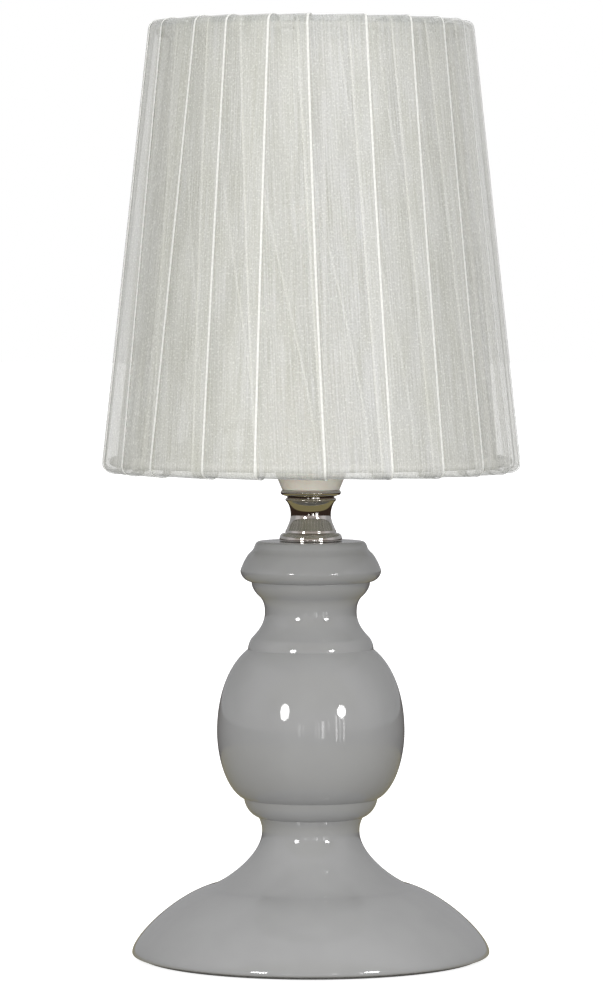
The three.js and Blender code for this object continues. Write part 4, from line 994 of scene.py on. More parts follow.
@dataclass
class CeramicBase:
    """The glazed body, the felt under it, the bush of its cord outlet and the stack on its tie tube."""

    foot_r: float = 64.6
    foot_edge_h: float = 0.8
    foot_edge_in: float = 0.9
    foot_dome_h: float = 23.7
    foot_turn_r: float = 35.8
    cove_h: float = 19.8
    waist_r: float = 17.65
    flare_h: float = 5.2
    flare_r: float = 18.9
    low_bead_r: float = 24.1
    low_bead_h: float = 6.7
    belly_r: float = 33.9
    belly_low_h: float = 24.4
    belly_high_h: float = 29.7
    high_bead_r: float = 22.7
    high_bead_h: float = 4.3
    throat_cove_h: float = 9.0
    throat_r: float = 16.6
    throat_flare_h: float = 5.4
    throat_bead_r: float = 21.4
    throat_bead_h: float = 5.6
    collar_r: float = 25.4
    collar_low_h: float = 3.9
    collar_high_h: float = 6.7
    crown_r: float = 20.1
    crown_h: float = 4.1
    crown_flat_r: float = 18.4
    mouth_r: float = 8.0
    crown_t: float = 6.0
    wall: float = 5.0
    rim_w: float = 6.4
    ledge_h: float = 14.0
    ledge_w: float = 6.5
    outlet_h: float = 7.0
    outlet_r: float = 4.4
    outlet_bore_r: float = 3.2
    bush_lip: Point = (1.0, 1.5)
    bush_seat: float = 0.05
    bush_sides: int = 48
    drill_from: float = 20.0
    ledge_slope: float = 0.54
    foot_points: int = 40

    def outside(self) -> Section:
        """Draw the outside, from the rim of the foot up to the edge of the crown."""
        z = low_of("ceramic_body")
        line = Section(self.foot_r - self.foot_edge_in, z)
        z += self.foot_edge_h
        line.corner((self.foot_r, z - self.foot_edge_h), self.foot_r, z)
        z += self.foot_dome_h
        line.bend((0, 0.21 * self.foot_dome_h), self.foot_turn_r, z, (13.5, -3.4), 30)
        z += self.cove_h
        line.bend((-5.7, 2.2), self.waist_r, z, (0, -0.425 * self.cove_h), 22)
        z += self.flare_h
        line.bend((0, 0.38 * self.flare_h), self.flare_r, z, (-1.0, -2.0), 10)
        z += self.low_bead_h
        line.bend((2.9, 0.9), self.low_bead_r, z, (-0.2, -2.7), 12)
        z += self.belly_low_h
        line.bend((6.8, 3.2), self.belly_r, z, (0, -0.36 * self.belly_low_h), 24)
        z += self.belly_high_h
        line.bend((0, 0.38 * self.belly_high_h), self.high_bead_r, z, (8, -6.4), 26)
        z += self.high_bead_h
        line.bend((-0.1, 1.9), self.high_bead_r - 1.6, z, (0.7, -0.7), 9)
        z += self.throat_cove_h
        line.bend((-2.6, 2.7), self.throat_r, z, (0, -0.4 * self.throat_cove_h), 18)
        z += self.throat_flare_h
        line.bend((0, 0.3 * self.throat_flare_h), self.throat_bead_r - 3.2, z, (-1.5, -1.8), 12)
        z += self.throat_bead_h
        line.corner((self.throat_bead_r, z - 0.5 * self.throat_bead_h), self.throat_bead_r, z, 9)
        z += self.collar_low_h
        line.bend((3.2, 0.5), self.collar_r, z, (0, -0.2 * self.collar_low_h), 14)
        z += self.collar_high_h
        line.bend((0, 0.14 * self.collar_high_h), self.crown_r + 1.8, z, (1.5, -1.2), 14)
        line.corner((self.crown_r + 0.45, z + 1.2), self.crown_r + 0.25, z + 2.2, 6)
        z += self.crown_h
        return line.corner((self.crown_r - 0.25, z), self.crown_flat_r, z, 8)

    def ceramic(self) -> Piece:
        """Turn the body, with its hollow, and drill the cord outlet."""
        line = self.outside()
        low, top = line.points[0][1], line.points[-1][1]
        hollow_r = line.points[0][0] - self.rim_w
        ledge_r = hollow_r - self.ledge_slope * self.ledge_h
        collar_z = top - self.crown_h - self.collar_high_h - self.collar_low_h
        throat_z = collar_z - self.throat_bead_h - self.throat_flare_h
        belly_z = throat_z - self.throat_cove_h - self.high_bead_h - self.belly_high_h
        waist_z = belly_z - self.belly_low_h - self.low_bead_h - self.flare_h
        line.to(self.mouth_r + 0.6, top).corner((self.mouth_r, top), self.mouth_r, top - 0.6, 4)
        line.to(self.mouth_r, top - self.crown_t)
        line.bend((8.4, -4.9), self.throat_r - self.wall, throat_z, (0, self.throat_flare_h), 8)
        line.bend((0, -13.3), self.belly_r - self.wall, belly_z, (0, 14.8), 12)
        line.bend((0, -12.8), self.waist_r - self.wall, waist_z, (0, 10.6), 12)
        line.bend((0, -9.9), ledge_r - self.ledge_w, low + self.ledge_h, (-7, 5), 12)
        line.to(ledge_r, low + self.ledge_h).to(hollow_r, low)
        body = turned("glazed_body", line.points, 192)
        outlet_z = low + self.outlet_h
        axis = [(0, self.drill_from, outlet_z), (0, 2 * self.foot_r, outlet_z)]
        drill = swept("drill", axis, self.outlet_r, 40)
        cut = body.modifiers.new("outlet", "BOOLEAN")
        cut.operation = "DIFFERENCE"
        cut.object = drill
        plain_mesh(body)
        bpy.data.objects.remove(drill)
        return finish_piece(body, GREY_GLAZE, Body.BASE, "ceramic_body")

    def foot_pad(self) -> Piece:
        """Cut the felt pad, with a slightly pressed edge."""
        top = high_of("foot_pad")
        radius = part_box("foot_pad")[1].x / MM
        section = softened([(0, 0), (radius, 0), (radius, top), (0, top)], 0.5)
        return finish_piece(turned("felt_pad", section, 160), WOOL_FELT, Body.BASE, "foot_pad")

    def wall_radius(self, height: float, grow: float) -> float:
        """Radius of the foot's outside at a height, moved out by grow."""
        points = np.array(self.outside().points[: self.foot_points])
        return float(np.interp(height, points[:, 1], points[:, 0])) + grow

    def cord_bush(self) -> Piece:
        """Mould the soft bush: a sleeve through the wall with a lip on each face that follows the wall."""
        low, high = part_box("cord_bush")
        centre = (low.z + high.z) / 2 / MM
        inner_y = low.y / MM
        lip_w, lip_t = self.bush_lip
        lip_r = self.outlet_r + lip_w
        sleeve_r = self.outlet_r - self.bush_seat
        bore_r = self.outlet_bore_r
        # Each row: radius, and depth on the inside or else how far it stands out from the wall outside.
        profile = (
            (bore_r, inner_y, 0),
            (lip_r - 0.4, inner_y, 0),
            (lip_r, inner_y + 0.4, 0),
            (lip_r, inner_y + lip_t, 0),
            (sleeve_r, inner_y + lip_t, 0),
            (sleeve_r, None, self.bush_seat),
            (lip_r, None, self.bush_seat),
            (lip_r, None, 0.6 * lip_t),
            (lip_r - 0.3, None, 0.9 * lip_t),
            (lip_r - 0.8, None, lip_t),
            (bore_r + 0.3, None, lip_t),
            (bore_r, None, 0.7 * lip_t),
        )
        vertices = []
        for radius, depth, proud in profile:
            for k in range(self.bush_sides):
                angle = 2 * math.pi * k / self.bush_sides
                x, z = radius * math.cos(angle), centre + radius * math.sin(angle)
                y = math.sqrt(self.wall_radius(z, proud) ** 2 - x * x) if depth is None else depth
                vertices.append((x * MM, y * MM, z * MM))
        faces = tube_faces(len(profile), self.bush_sides, closed=True)
        bush = make_object("outlet_bush", vertices, faces)
        return finish_piece(bush, SOFT_RUBBER, Body.BASE, "cord_bush")

    def build(self) -> None:
        """Make the base and dress what is shut up in it."""
        self.ceramic()
        self.foot_pad()
        self.cord_bush()
        finishes = {"base_plate": SHEET_STEEL, "base_washer": ZINC_PLATE, "base_nut": ZINC_PLATE}
        dress_solids({**finishes, "threaded_tube": ZINC_PLATE, "centring_bush": SOFT_RUBBER})


@dataclass
class ChromedNeck:
    """The turned neck on the crown, and the cup that carries the lamp holder."""

    tube_hole_r: float = 5.15
    recess_r: float = 10.5
    recess_h: float = 0.85
    flange_r: float = 11.3
    flange_h: float = 2.9
    flange_edge_h: float = 0.9
    step_r: float = 9.15
    step_h: float = 1.1
    waist_r: float = 7.27
    low_h: float = 5.5
    high_h: float = 4.8
    bead_r: float = 9.25
    bead_h: float = 1.2
    top_r: float = 8.5
    top_h: float = 0.5
    cup_r: float = 10.9
    cup_lip_r: float = 0.95
    cup_t: float = 0.8
    cup_h: float = 2.4

    def neck(self) -> Piece:
        """Turn the neck."""
        z = low_of("neck")
        step_z = z + self.flange_h
        low_z = step_z + self.step_h
        waist_z = low_z + self.low_h
        bead_z = waist_z + self.high_h
        top_z = bead_z + self.bead_h
        line = Section(self.tube_hole_r, z + self.recess_h).to(self.recess_r, z + self.recess_h)
        line.to(self.recess_r, z).to(self.flange_r - 0.25, z)
        line.corner((self.flange_r, z), self.flange_r, z + 0.25, 4)
        line.to(self.flange_r, z + self.flange_edge_h)
        line.corner((self.flange_r - 0.1, step_z - 0.1), self.step_r + 0.4, step_z, 10)
        line.corner((self.step_r, step_z), self.step_r, step_z + 0.3, 4)
        line.to(self.step_r, low_z - 0.2)
        line.corner((self.step_r, low_z), self.step_r - 0.2, low_z, 4)
        line.bend((-0.6, 1.5), self.waist_r, waist_z, (0, -0.4 * self.low_h), 16)
        line.bend((0, 0.4 * self.high_h), self.bead_r - 0.5, bead_z, (-0.8, -0.9), 16)
        line.corner((self.bead_r + 0.35, bead_z + self.bead_h / 2), self.bead_r - 0.4, top_z, 9)
        line.to(self.top_r, top_z).to(self.top_r, top_z + self.top_h)
        line.to(self.tube_hole_r, top_z + self.top_h)
        return finish_piece(turned("chromed_neck", line.points, 128), CHROME_PLATE, Body.BASE, "neck")

    def cup(self) -> Piece:
        """Spin the cup, with its rolled rim."""
        z = low_of("neck_cup")
        lip_r = self.cup_r - self.cup_lip_r
        lip_z = z + self.cup_h - self.cup_lip_r
        line = Section(self.tube_hole_r, z).to(self.top_r, z)
        for i in range(25):
            angle = math.pi * (-0.45 + 1.5 * i / 24)
            line.to(lip_r + self.cup_lip_r * math.cos(angle), lip_z + self.cup_lip_r * math.sin(angle))
        line.to(self.top_r, z + self.cup_t).to(self.tube_hole_r, z + self.cup_t)
        return finish_piece(turned("chromed_cup", line.points, 128), CHROME_PLATE, Body.BASE, "neck_cup")

    def build(self) -> None:
        """Make the neck and its cup."""
        self.neck()
        self.cup()


@dataclass
class LampHolder:
    """The screw lamp holder: dome, barrel with its grip ribs, and what they enclose."""

    tube_hole_r: float = 5.15
    foot_r: float = 10.5
    dome_r: float = 14.0
    dome_wall: float = 1.6
    boss_r: float = 8.0
    boss_h: float = 7.5
    core_seat_r: float = 12.4
    ledge_h: float = 2.35
    ledge_w: float = 1.4
    chamber_r: float = 10.8
    skirt_r: float = 13.9
    skirt_h: float = 5.9
    flange_r: float = 17.2
    flange_t: float = 2.0
    thread_r: float = 13.6
    thread_a: float = 0.4
    plain_h: float = 2.6
    thread_h: float = 19.4
    pitch: float = 2.5
    bore_r: float = 8.47
    shoulder_gap: float = 0.9
    ribs: int = 30
    rib_r: float = 0.5

    def dome(self) -> Piece:
        """Mould the dome, with its boss for the tube."""
        low, top = low_of("holder_dome"), high_of("holder_dome")
        foot_z = low_of("neck_cup") + 2.45
        ledge_z = top - self.ledge_h
        line = Section(self.tube_hole_r, low).to(self.boss_r, low).to(self.boss_r, foot_z)
        line.to(self.foot_r - 0.3, foot_z).corner((self.foot_r, foot_z), self.foot_r, foot_z + 0.3, 4)
        line.bend((1.8, 4.3), self.dome_r, top - 0.4, (0, -4.8), 22)
        line.corner((self.dome_r, top), self.dome_r - 0.4, top, 4)
        line.to(self.core_seat_r, top).to(self.core_seat_r, ledge_z)
        line.to(self.core_seat_r - self.ledge_w, ledge_z)
        inner_r = self.foot_r - self.dome_wall
        line.corner((self.core_seat_r - self.ledge_w, foot_z + 6.8), inner_r, foot_z + self.dome_wall, 10)
        line.to(self.boss_r, foot_z + self.dome_wall).to(self.boss_r, foot_z + self.boss_h)
        line.to(self.tube_hole_r, foot_z + self.boss_h)
        return finish_piece(turned("holder_cap", line.points, 112), PALE_PLASTIC, Body.BASE, "holder_dome")

    def barrel(self) -> Piece:
        """Mould the barrel: a ribbed skirt, a flange for the shade, and an outside thread."""
        low, top = low_of("holder_barrel"), high_of("holder_barrel")
        flange_z = low + self.skirt_h
        seat_z = flange_z + self.flange_t
        thread_z = seat_z + self.plain_h
        thread_top = thread_z + self.thread_h
        lip_r = self.thread_r - self.thread_a - 0.4
        shoulder_z = low_of("screw_shell") + self.shoulder_gap
        line = Section(self.chamber_r, low).to(self.skirt_r - 0.3, low)
        line.corner((self.skirt_r, low), self.skirt_r, low + 0.3, 4)
        line.to(self.skirt_r, flange_z - 0.4)
        line.corner((self.skirt_r, flange_z), self.skirt_r + 0.4, flange_z, 4)
        line.to(self.flange_r - 0.5, flange_z)
        line.corner((self.flange_r, flange_z), self.flange_r, flange_z + 0.5, 5)
        line.to(self.flange_r, seat_z - 0.5)
        line.corner((self.flange_r, seat_z), self.flange_r - 0.5, seat_z, 5)
        line.to(self.thread_r, seat_z).to(self.thread_r, thread_z)
        line.wall(self.thread_r, thread_top, self.pitch)
        line.to(lip_r, thread_top).to(lip_r, top - 0.4).corner((lip_r, top), lip_r - 0.4, top, 5)
        line.to(self.bore_r + 0.5, top).corner((self.bore_r, top), self.bore_r, top - 0.5, 5)
        line.to(self.bore_r, shoulder_z).to(self.chamber_r, shoulder_z)
        barrel = turned("holder_sleeve", line.points, 120)
        press_thread(barrel, self.thread_r, self.thread_a, self.pitch, thread_z, thread_top)
        return finish_piece(barrel, PALE_PLASTIC, Body.BASE, "holder_barrel")

    def grip_ribs(self) -> Piece:
        """Mould the upright ribs round the skirt of the barrel."""
        low = low_of("holder_barrel")
        ends = [(self.skirt_r - 0.15, 0, low + 0.9), (self.skirt_r - 0.15, 0, low + self.skirt_h - 0.9)]
        rib = swept("holder_grip_ribs", ends, self.rib_r, 12)
        repeated(rib, self.ribs, PALE_PLASTIC)
        return finish_piece(rib, PALE_PLASTIC, Body.BASE)

    def build(self) -> None:
        """Make the holder and dress what is shut up in it."""
        self.dome()
        self.barrel()
        self.grip_ribs()
        dress_solids({"tube_lock_screw": ZINC_PLATE, "holder_core": PORCELAIN, "screw_shell": NICKEL_PLATE})
        contacts = ("terminal_screw_1", "terminal_screw_2", "centre_contact")
        dress_solids(dict.fromkeys(contacts, CONTACT_BRASS))


@dataclass
class Bulb:
    """The small screw bulb, with a white-coated ball."""

    tip_r: float = 2.3
    insulator_foot_r: float = 3.1
    insulator_r: float = 5.37
    insulator_in_cap: float = 1.5
    cap_r: float = 6.62
    cap_a: float = 0.35
    cap_wall: float = 0.6
    cap_pitch: float = 2.822
    cap_thread_h: float = 14.5
    skirt_r: float = 7.3
    glass_r: float = 22.5
    glass_wall: float = 0.9
    neck_r: float = 8.6
    shoulder_h: float = 1.0
    filament_r: float = 0.1
    coil_r: float = 0.55
    coils: int = 40
    spread: float = 7.0

    def tip(self) -> Piece:
        """Form the solder button."""
        low, high = low_of("bulb_tip"), high_of("bulb_tip")
        line = Section(0, low).bend((0.9, 0), self.tip_r, high - 0.15, (0, -0.7), 10)
        line.to(self.tip_r - 0.15, high).to(0, high)
        piece = turned("solder_button", line.points, 48)
        return finish_piece(piece, ZINC_PLATE, Body.BULB_CARRIER, "bulb_tip")

    def insulator(self) -> Piece:
        """Press the insulator."""
        low, cap_z = low_of("bulb_insulator"), low_of("bulb_cap")
        line = Section(0, low).to(self.insulator_foot_r, low)
        line.bend((0.9, 0.2), self.insulator_r, cap_z, (-0.5, -0.6), 8)
        line.to(self.insulator_r, cap_z + self.insulator_in_cap).to(0, cap_z + self.insulator_in_cap)
        piece = turned("vitrite_insulator", line.points, 64)
        return finish_piece(piece, BLACK_VITRITE, Body.BULB, "bulb_insulator")

    def cap(self) -> Piece:
        """Roll the thread of the cap."""
        low, high = low_of("bulb_cap"), high_of("bulb_cap")
        skirt_z = low + self.cap_thread_h
        bore_r = self.cap_r - self.cap_a - self.cap_wall
        line = Section(bore_r, low).to(self.cap_r, low).wall(self.cap_r, skirt_z, self.cap_pitch)
        line.bend((0, 0.3), self.skirt_r, skirt_z + 1.4, (0, -0.5), 8)
        line.to(self.skirt_r, high - 0.2).corner((self.skirt_r, high), self.skirt_r - 0.2, high, 3)
        line.to(bore_r, high)
        cap = turned("screw_cap", line.points, 96)
        press_thread(cap, self.cap_r, self.cap_a, self.cap_pitch, low, skirt_z)
        return finish_piece(cap, NICKEL_PLATE, Body.BULB, "bulb_cap")

    def ball(self, line: Section, inset: float, neck_z: float) -> Section:
        """Draw the neck and the ball, at a distance inside the outer face."""
        centre = high_of("bulb_glass") - self.glass_r
        radius = self.glass_r - inset
        line.to(self.neck_r - inset, neck_z)
        line.bend((1.4, 7.0), radius, centre, (0, -17), 26)
        return line.bend((0, 0.552 * radius), 0, centre + radius, (0.552 * radius, 0), 26)

    def glass(self) -> Piece:
        """Blow the glass."""
        tail_r = self.cap_r - self.cap_a - self.cap_wall - 0.3
        low = low_of("bulb_glass")
        shoulder_z = high_of("bulb_cap") + 0.3
        neck_z = shoulder_z + self.shoulder_h
        outside = self.ball(Section(tail_r, low).to(tail_r, shoulder_z), 0, neck_z)
        bore_r = tail_r - self.glass_wall
        inside = Section(bore_r, low).to(bore_r, neck_z)
        inside = self.ball(inside, self.glass_wall, neck_z + self.glass_wall)
        section = outside.points + list(reversed(inside.points))
        return finish_piece(turned("glass_ball", section, 112), OPAL_GLASS, Body.BULB, "bulb_glass")

    def filament(self) -> Piece:
        """Coil the filament between its two leads."""
        low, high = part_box("filament")
        middle = low.z / MM + self.coil_r
        rise = (high.z - low.z) / MM - 2 * self.coil_r
        points = []
        steps = 12 * self.coils
        for i in range(steps + 1):
            share = i / steps
            angle = 2 * math.pi * self.coils * share
            x = self.spread * (2 * share - 1)
            lift = middle + rise * (1 - (2 * share - 1) ** 2)
            points.append((x, self.coil_r * math.cos(angle), lift + self.coil_r * math.sin(angle)))
        coil = swept("coiled_filament", points, self.filament_r, 6)
        return finish_piece(coil, TUNGSTEN, Body.BULB, "filament")

    def build(self) -> None:
        """Make the bulb and dress what is shut up in it."""
        self.tip()
        self.insulator()
        self.cap()
        self.glass()
        self.filament()
        dress_solids({"bulb_stem": STEM_GLASS, "lead_wire_1": NICKEL_PLATE, "lead_wire_2": NICKEL_PLATE})


@dataclass
class ShadeFitter:
    """What clamps the shade to the holder: the reducer and the threaded shade ring."""

    reducer_bore_r: float = 14.3
    reducer_r: float = 23.5
    reducer_t: float = 1.2
    spigot_r: float = 20.7
    ring_bore_r: float = 14.1
    ring_r: float = 18.5
    thread_a: float = 0.4
    pitch: float = 2.5
    flutes: int = 30
    flute_a: float = 0.3
    flute_depth: float = 1.2

    def reducer(self) -> Piece:
        """Mould the reducer."""
        low, top = low_of("fitter_reducer"), high_of("fitter_reducer")
        corners = [
            (self.reducer_bore_r, low),
            (self.reducer_r, low),
            (self.reducer_r, low + self.reducer_t),
            (self.spigot_r, low + self.reducer_t),
            (self.spigot_r, top),
            (self.reducer_bore_r, top),
        ]
        piece = turned("shade_reducer", softened(corners, 0.3), 128)
        return finish_piece(piece, PALE_PLASTIC, Body.SHADE_CARRIER, "fitter_reducer")

    def ring(self) -> Piece:
        """Mould the ring, with its inside thread and fluted edge."""
        low, top = low_of("shade_ring"), high_of("shade_ring")
        line = Section(self.ring_bore_r, low).to(self.ring_r - 0.4, low)
        line.corner((self.ring_r, low), self.ring_r, low + 0.4, 4).to(self.ring_r, top - 0.8)
        line.corner((self.ring_r, top), self.ring_r - 1.0, top, 7).to(self.ring_bore_r, top)
        line.wall(self.ring_bore_r, low, self.pitch)
        line.points.pop()
        ring = turned("fluted_shade_ring", line.points, 8 * self.flutes)
        press_thread(ring, self.ring_bore_r, self.thread_a, self.pitch, low, top)
        places = points_of(ring)
        radii = np.hypot(places[:, 0], places[:, 1])
        angles = np.arctan2(places[:, 1], places[:, 0])
        waves = np.abs(np.cos(self.flutes * angles / 2)) - 1
        grown = 1 + 2 * self.flute_a * waves / np.maximum(radii, 1)
        outer = radii > self.ring_r - self.flute_depth
        places[outer, :2] *= grown[outer, None]
        move_points(ring, places)
        smooth(ring.data)
        return finish_piece(ring, PALE_PLASTIC, Body.SHADE_RING, "shade_ring")

    def build(self) -> None:
        """Make both."""
        self.reducer()
        self.ring()


@dataclass
class ShadeFrame:
    """The welded wire frame of the shade: fitter ring, arms, struts and two rings."""

    ring_wire_r: float = 1.5
    strut_r: float = 1.0
    struts: int = 6
    arm_r: float = 1.5
    arms: int = 3
    fitter_bore_r: float = 21.0
    fitter_r: float = 25.5
    arm_bend: Point = (8.0, -1.2)
    weld_r: float = 1.9
    turns: int = 22

    def ring_place(self, node: str) -> Point:
        """Radius and height of the middle of a wire ring."""
        low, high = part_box(node)
        return high.x / MM - self.ring_wire_r, (low.z + high.z) / 2 / MM

    def wire_rings(self) -> None:
        """Bend the two rings."""
        for node, name in (("shade_top_ring", "top_wire_ring"), ("shade_bottom_ring", "bottom_wire_ring")):
            radius, height = self.ring_place(node)
            ring = turned(name, wire_ring(radius, height, self.ring_wire_r), 192)
            finish_piece(ring, COATED_WIRE, Body.SHADE, node)

    def fitter_ring(self) -> None:
        """Stamp the fitter ring."""
        low, top = low_of("fitter_ring"), high_of("fitter_ring")
        corners = [
            (self.fitter_bore_r, low),
            (self.fitter_r, low),
            (self.fitter_r, top),
            (self.fitter_bore_r, top),
        ]
        ring = turned("stamped_fitter_ring", softened(corners, 0.4), 144)
        finish_piece(ring, COATED_WIRE, Body.SHADE, "fitter_ring")

    def weld(self, at: Sequence[float]) -> Piece:
        """Make a small round weld at a point."""
        points = [(at[0], at[1], at[2] - 0.3), (at[0], at[1], at[2] + 0.3)]
        return swept("weld", points, self.weld_r, 14)

    def struts_piece(self) -> None:
        """Weld the upright wires between the rings."""
        low_r, low_z = self.ring_place("shade_bottom_ring")
        high_r, high_z = self.ring_place("shade_top_ring")
        wire = swept("strut", [(low_r, 0, low_z), (high_r, 0, high_z)], self.strut_r, 14)
        piece = joined("frame_struts", [wire, self.weld((low_r, 0, low_z)), self.weld((high_r, 0, high_z))])
        repeated(piece, self.struts, COATED_WIRE, math.pi / 6 + math.pi / (2 * self.turns))
        nodes = [f"shade_strut_{i + 1}" for i in range(self.struts)]
        finish_piece(piece, COATED_WIRE, Body.SHADE, *nodes)

    def arms_piece(self) -> None:
        """Bend and weld the arms from the fitter ring down to the bottom ring."""
        low_r, low_z = self.ring_place("shade_bottom_ring")
        start_z = (low_of("fitter_ring") + high_of("fitter_ring")) / 2
        bend = (self.fitter_r + self.arm_bend[0], start_z + self.arm_bend[1])
        middle = Section(self.fitter_r - 0.5, start_z)
        middle.bend((4, 0), bend[0], bend[1], (-3, 0.9), 10)
        middle.bend((5, -1.6), low_r, low_z, (-12, 4), 14)
        points = [(radius, 0, height) for radius, height in middle.points]
        arm = swept("arm", points, self.arm_r, 16)
        piece = joined("fitter_arms", [arm, self.weld(points[-1])])
        repeated(piece, self.arms, COATED_WIRE, math.pi / 2)
        nodes = [f"fitter_arm_{i + 1}" for i in range(self.arms)]
        finish_piece(piece, COATED_WIRE, Body.SHADE, *nodes)

    def build(self) -> None:
        """Make the frame."""
        self.wire_rings()
        self.fitter_ring()
        self.struts_piece()
        self.arms_piece()


@dataclass
class RibbonShade:
    """The ribbon, wound over both rings of the frame in one run, each turn lapping over the next one.

    The shifts are how far the winder set each turn off its even place, in degrees, at the two rings. The
    tints are how pale and cool each turn looks. The hem shades are painted shade, from 0 to 1: how dark
    the band at the top ring and the line along the bottom edge are painted.
    """

    frame: ShadeFrame
    width: float = 25.0
    thickness: float = 0.08
    edge_thickness: float = 0.16
    edge_width: float = 1.0
    lap: float = 0.5
    reach: Point = (3.8, 3.45)
    side_reach: float = 4.05
    squareness: float = 2.6
    hem_band: float = 2.6
    hem_line: float = 0.7
    # Painted shade on the hems: how dark the band at the top ring and the line along the bottom edge are.
    top_hem_shade: float = 0.45
    low_hem_shade: float = 0.9
    weld: float = 0.02
    up_steps: int = 16
    hem_steps: int = 16
    columns: int = 12
    shifts_top: tuple[float, ...] = (
        -0.6, 1.1, -1.8, -0.4, -2.2, -3.0, -1.2, 0.4, -0.9, -2.4, -1.6,
        -0.8, -2.8, 1.3, -1.4, -2.1, -5.0, -1.0, 0.3, -0.1, -1.5, -0.2,
    )  # fmt: skip
    shifts_bottom: tuple[float, ...] = (
        2.4, 1.6, 0.9, 2.8, 1.9, 0.6, 1.4, 2.9, 3.1, 2.2, 1.2,
        1.8, 2.1, -0.3, 1.5, 0.3, 2.6, 4.5, 3.9, 3.1, 3.0, 2.6,
    )  # fmt: skip
    tints: tuple[float, ...] = (
        0.5, 0.3, 0.6, 0.2, 0.7, 0.4, 0.8, 0.3, 0.5, 0.2, 0.6,
        0.4, 0.2, 0.15, 0.3, 0.4, 0.5, 0.9, 0.6, 0.5, 0.45, 0.4,
    )  # fmt: skip

    @property
    def pitch(self) -> float:
        """Angle from one turn to the next."""
        return 2 * math.pi / self.frame.turns

    def across_places(self) -> list[float]:
        """Places over the width, from -1 to 1, close together at the edges."""
        edge = 1 - 2 * self.edge_width / self.width
        middle = (1 + edge) / 2
        return [-1.0, -middle, *np.linspace(-edge, edge, self.columns), middle, 1.0]

    def centre_line(self) -> list[tuple[Vector, Vector, float, float, float]]:
        """Walk one turn: from inside the bottom ring up the outside, over the top ring and down again.

        Returns:
            For each place in half section: the middle of the ribbon, the direction out from the ribbon, the
            share of a pitch moved on, how high it is between the rings, and whether it is inside.
        """
        bottom, top = (Vector(self.frame.ring_place(f"shade_{end}_ring")) for end in ("bottom", "top"))
        slant = top - bottom
        outward = Vector((slant.y, -slant.x)).normalized()

        def round_ring(centre: Vector, reach: float, turn: float, first: Vector) -> tuple[Vector, Vector]:
            """Go round a ring on a squarish path, from the direction first by an angle turn."""
            side, up = math.cos(turn), math.sin(turn)
            power = 2 / self.squareness
            spot = first * (self.side_reach * math.copysign(abs(side) ** power, side))
            spot += Vector((-first.y, first.x)) * (reach * abs(up) ** power)
            out = first * side + Vector((-first.y, first.x)) * up
            return centre + spot, out

        places = []
        for i in range(self.hem_steps):
            spot, out = round_ring(bottom, self.reach[0], math.pi * i / self.hem_steps, -outward)
            places.append((spot, out, 0.0, 0.0, 0.0))
        for i in range(self.up_steps):
            share = i / self.up_steps
            places.append((bottom.lerp(top, share) + outward * self.side_reach, outward, 0.0, share, 0.0))
        for i in range(self.hem_steps):
            spot, out = round_ring(top, self.reach[1], math.pi * i / self.hem_steps, outward)
            places.append((spot, out, 0.0, 1.0, 0.0))
        for i in range(self.up_steps + 1):
            share = i / self.up_steps
            moved = share * share * (3 - 2 * share)
            spot = top.lerp(bottom, share) - outward * self.side_reach
            places.append((spot, -outward, moved, 1 - share, 1.0))
        return places

    def one_turn(self) -> Piece:
        """Make the mesh of one turn, open at both ends, with its weave map and its marks."""
        across = self.across_places()
        places = self.centre_line()
        top_z = max(place[0].y for place in places)
        low_z = min(place[0].y for place in places)
        vertices, weave = [], []
        marks: dict[str, list[float]] = {"rise": [], "inside": [], "hem": []}
        along = 0.0
        before = places[0][0]
        for middle, out, moved, rise, inside in places:
            along += (middle - before).length
            before = middle
            half_angle = self.width / 2 / middle.x
            for face in (1, -1):
                for place in across if face > 0 else reversed(across):
                    edge = abs(place) > 1 - 2 * self.edge_width / self.width - SMALL
                    half = (self.edge_thickness if edge else self.thickness) / 2
                    spot = middle + out * (self.lap * place * half_angle / self.pitch + face * half)
                    angle = moved * self.pitch + place * half_angle
                    x, y = spot.x * math.cos(angle), spot.x * math.sin(angle)
                    vertices.append((x * MM, y * MM, spot.y * MM))
                    weave.append(((place + 1) / 2 * self.width, along))
                    marks["rise"].append(rise)
                    marks["inside"].append(inside)
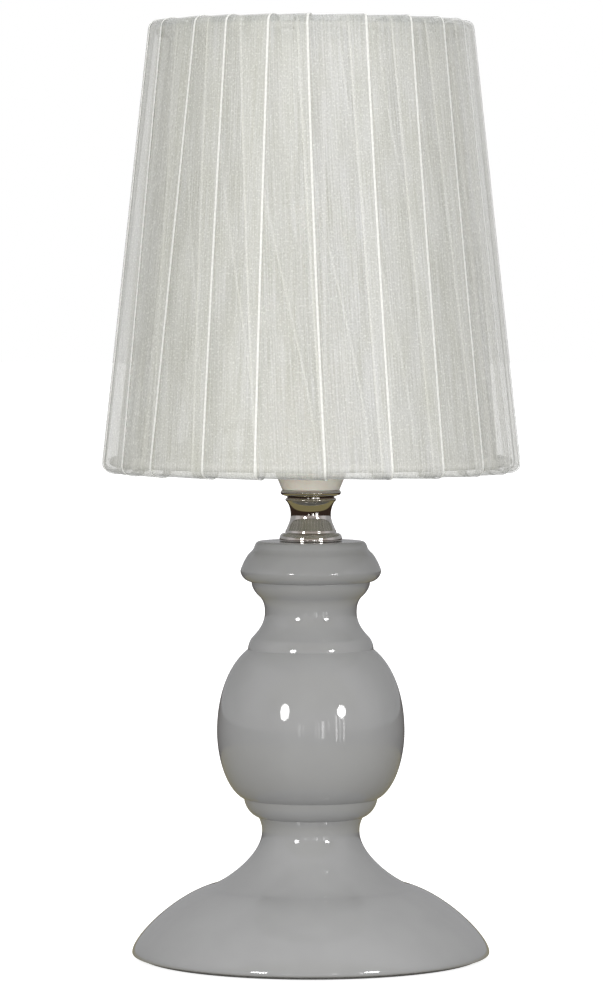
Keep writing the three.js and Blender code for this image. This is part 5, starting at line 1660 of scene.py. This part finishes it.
                    # The hem mark carries the painted shade at the hems, and also the opacity of the ribbon
                    # doubled over the rings.
                    upper = 1.2 * (1.3 - (top_z - middle.y) / self.hem_band)
                    lower = 1.5 - (middle.y - low_z) / self.hem_line
                    marks["hem"].append(max(0.0, min(self.top_hem_shade, upper), min(self.low_hem_shade, lower)))
        sides = 2 * len(across)
        faces = tube_faces(len(places), sides)
        turn = make_object("ribbon_turn", vertices, faces, outwards=False)
        uv = turn.data.uv_layers.new(name="weave")
        for corner in turn.data.loops:
            uv.data[corner.index].uv = weave[corner.vertex_index]
        mark_points(turn.data, marks)
        return turn

    def stations(self) -> Piece:
        """Make the points that the turns are set on."""
        count = self.frame.turns
        piece = make_object("wound_ribbon", [(0, 0, 0)] * count, [], outwards=False)
        low = [math.radians(shift) for shift in self.shifts_bottom]
        high = [math.radians(shift) for shift in self.shifts_top]
        after = low[1:] + low[:1]
        marks = {"shift_low": low, "shift_high": high, "shift_next": after, "tint": list(self.tints)}
        mark_points(piece.data, marks)
        return piece

    def build(self) -> None:
        turn = self.one_turn()
        piece = self.stations()
        material = material_of(SHEER_RIBBON)
        values = {"Pitch": self.pitch, "Weld": self.weld * MM, "Turn": turn, "Material": material}
        through_tree(piece, winding_tree(), values)
        bpy.data.objects.remove(turn)
        turn_outwards(piece.data)
        smooth(piece.data)
        finish_piece(piece, SHEER_RIBBON, Body.SHADE, "shade_ribbon")
        length = self.frame.turns * self.turn_length()
        LOG.info("ribbon: %.0f mm wide, %.2f m long", self.width, length * MM)

    def turn_length(self) -> float:
        """Length of one turn, along the middle of the ribbon, in millimetres."""
        path = []
        for spot, _, moved, _, _ in self.centre_line():
            angle = moved * self.pitch
            path.append(Vector((spot.x * math.cos(angle), spot.x * math.sin(angle), spot.y)))
        return sum((b - a).length for a, b in zip(path, path[1:]))


def main() -> None:
    """Make the lamp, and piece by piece."""
    logging.basicConfig(level=logging.INFO, format="%(name)s: %(message)s")
    Studio().build()
    CeramicBase().build()
    ChromedNeck().build()
    LampHolder().build()
    Bulb().build()
    ShadeFitter().build()
    shade_frame = ShadeFrame()
    shade_frame.build()
    RibbonShade(shade_frame).build()


if __name__ == "__main__":
    main()
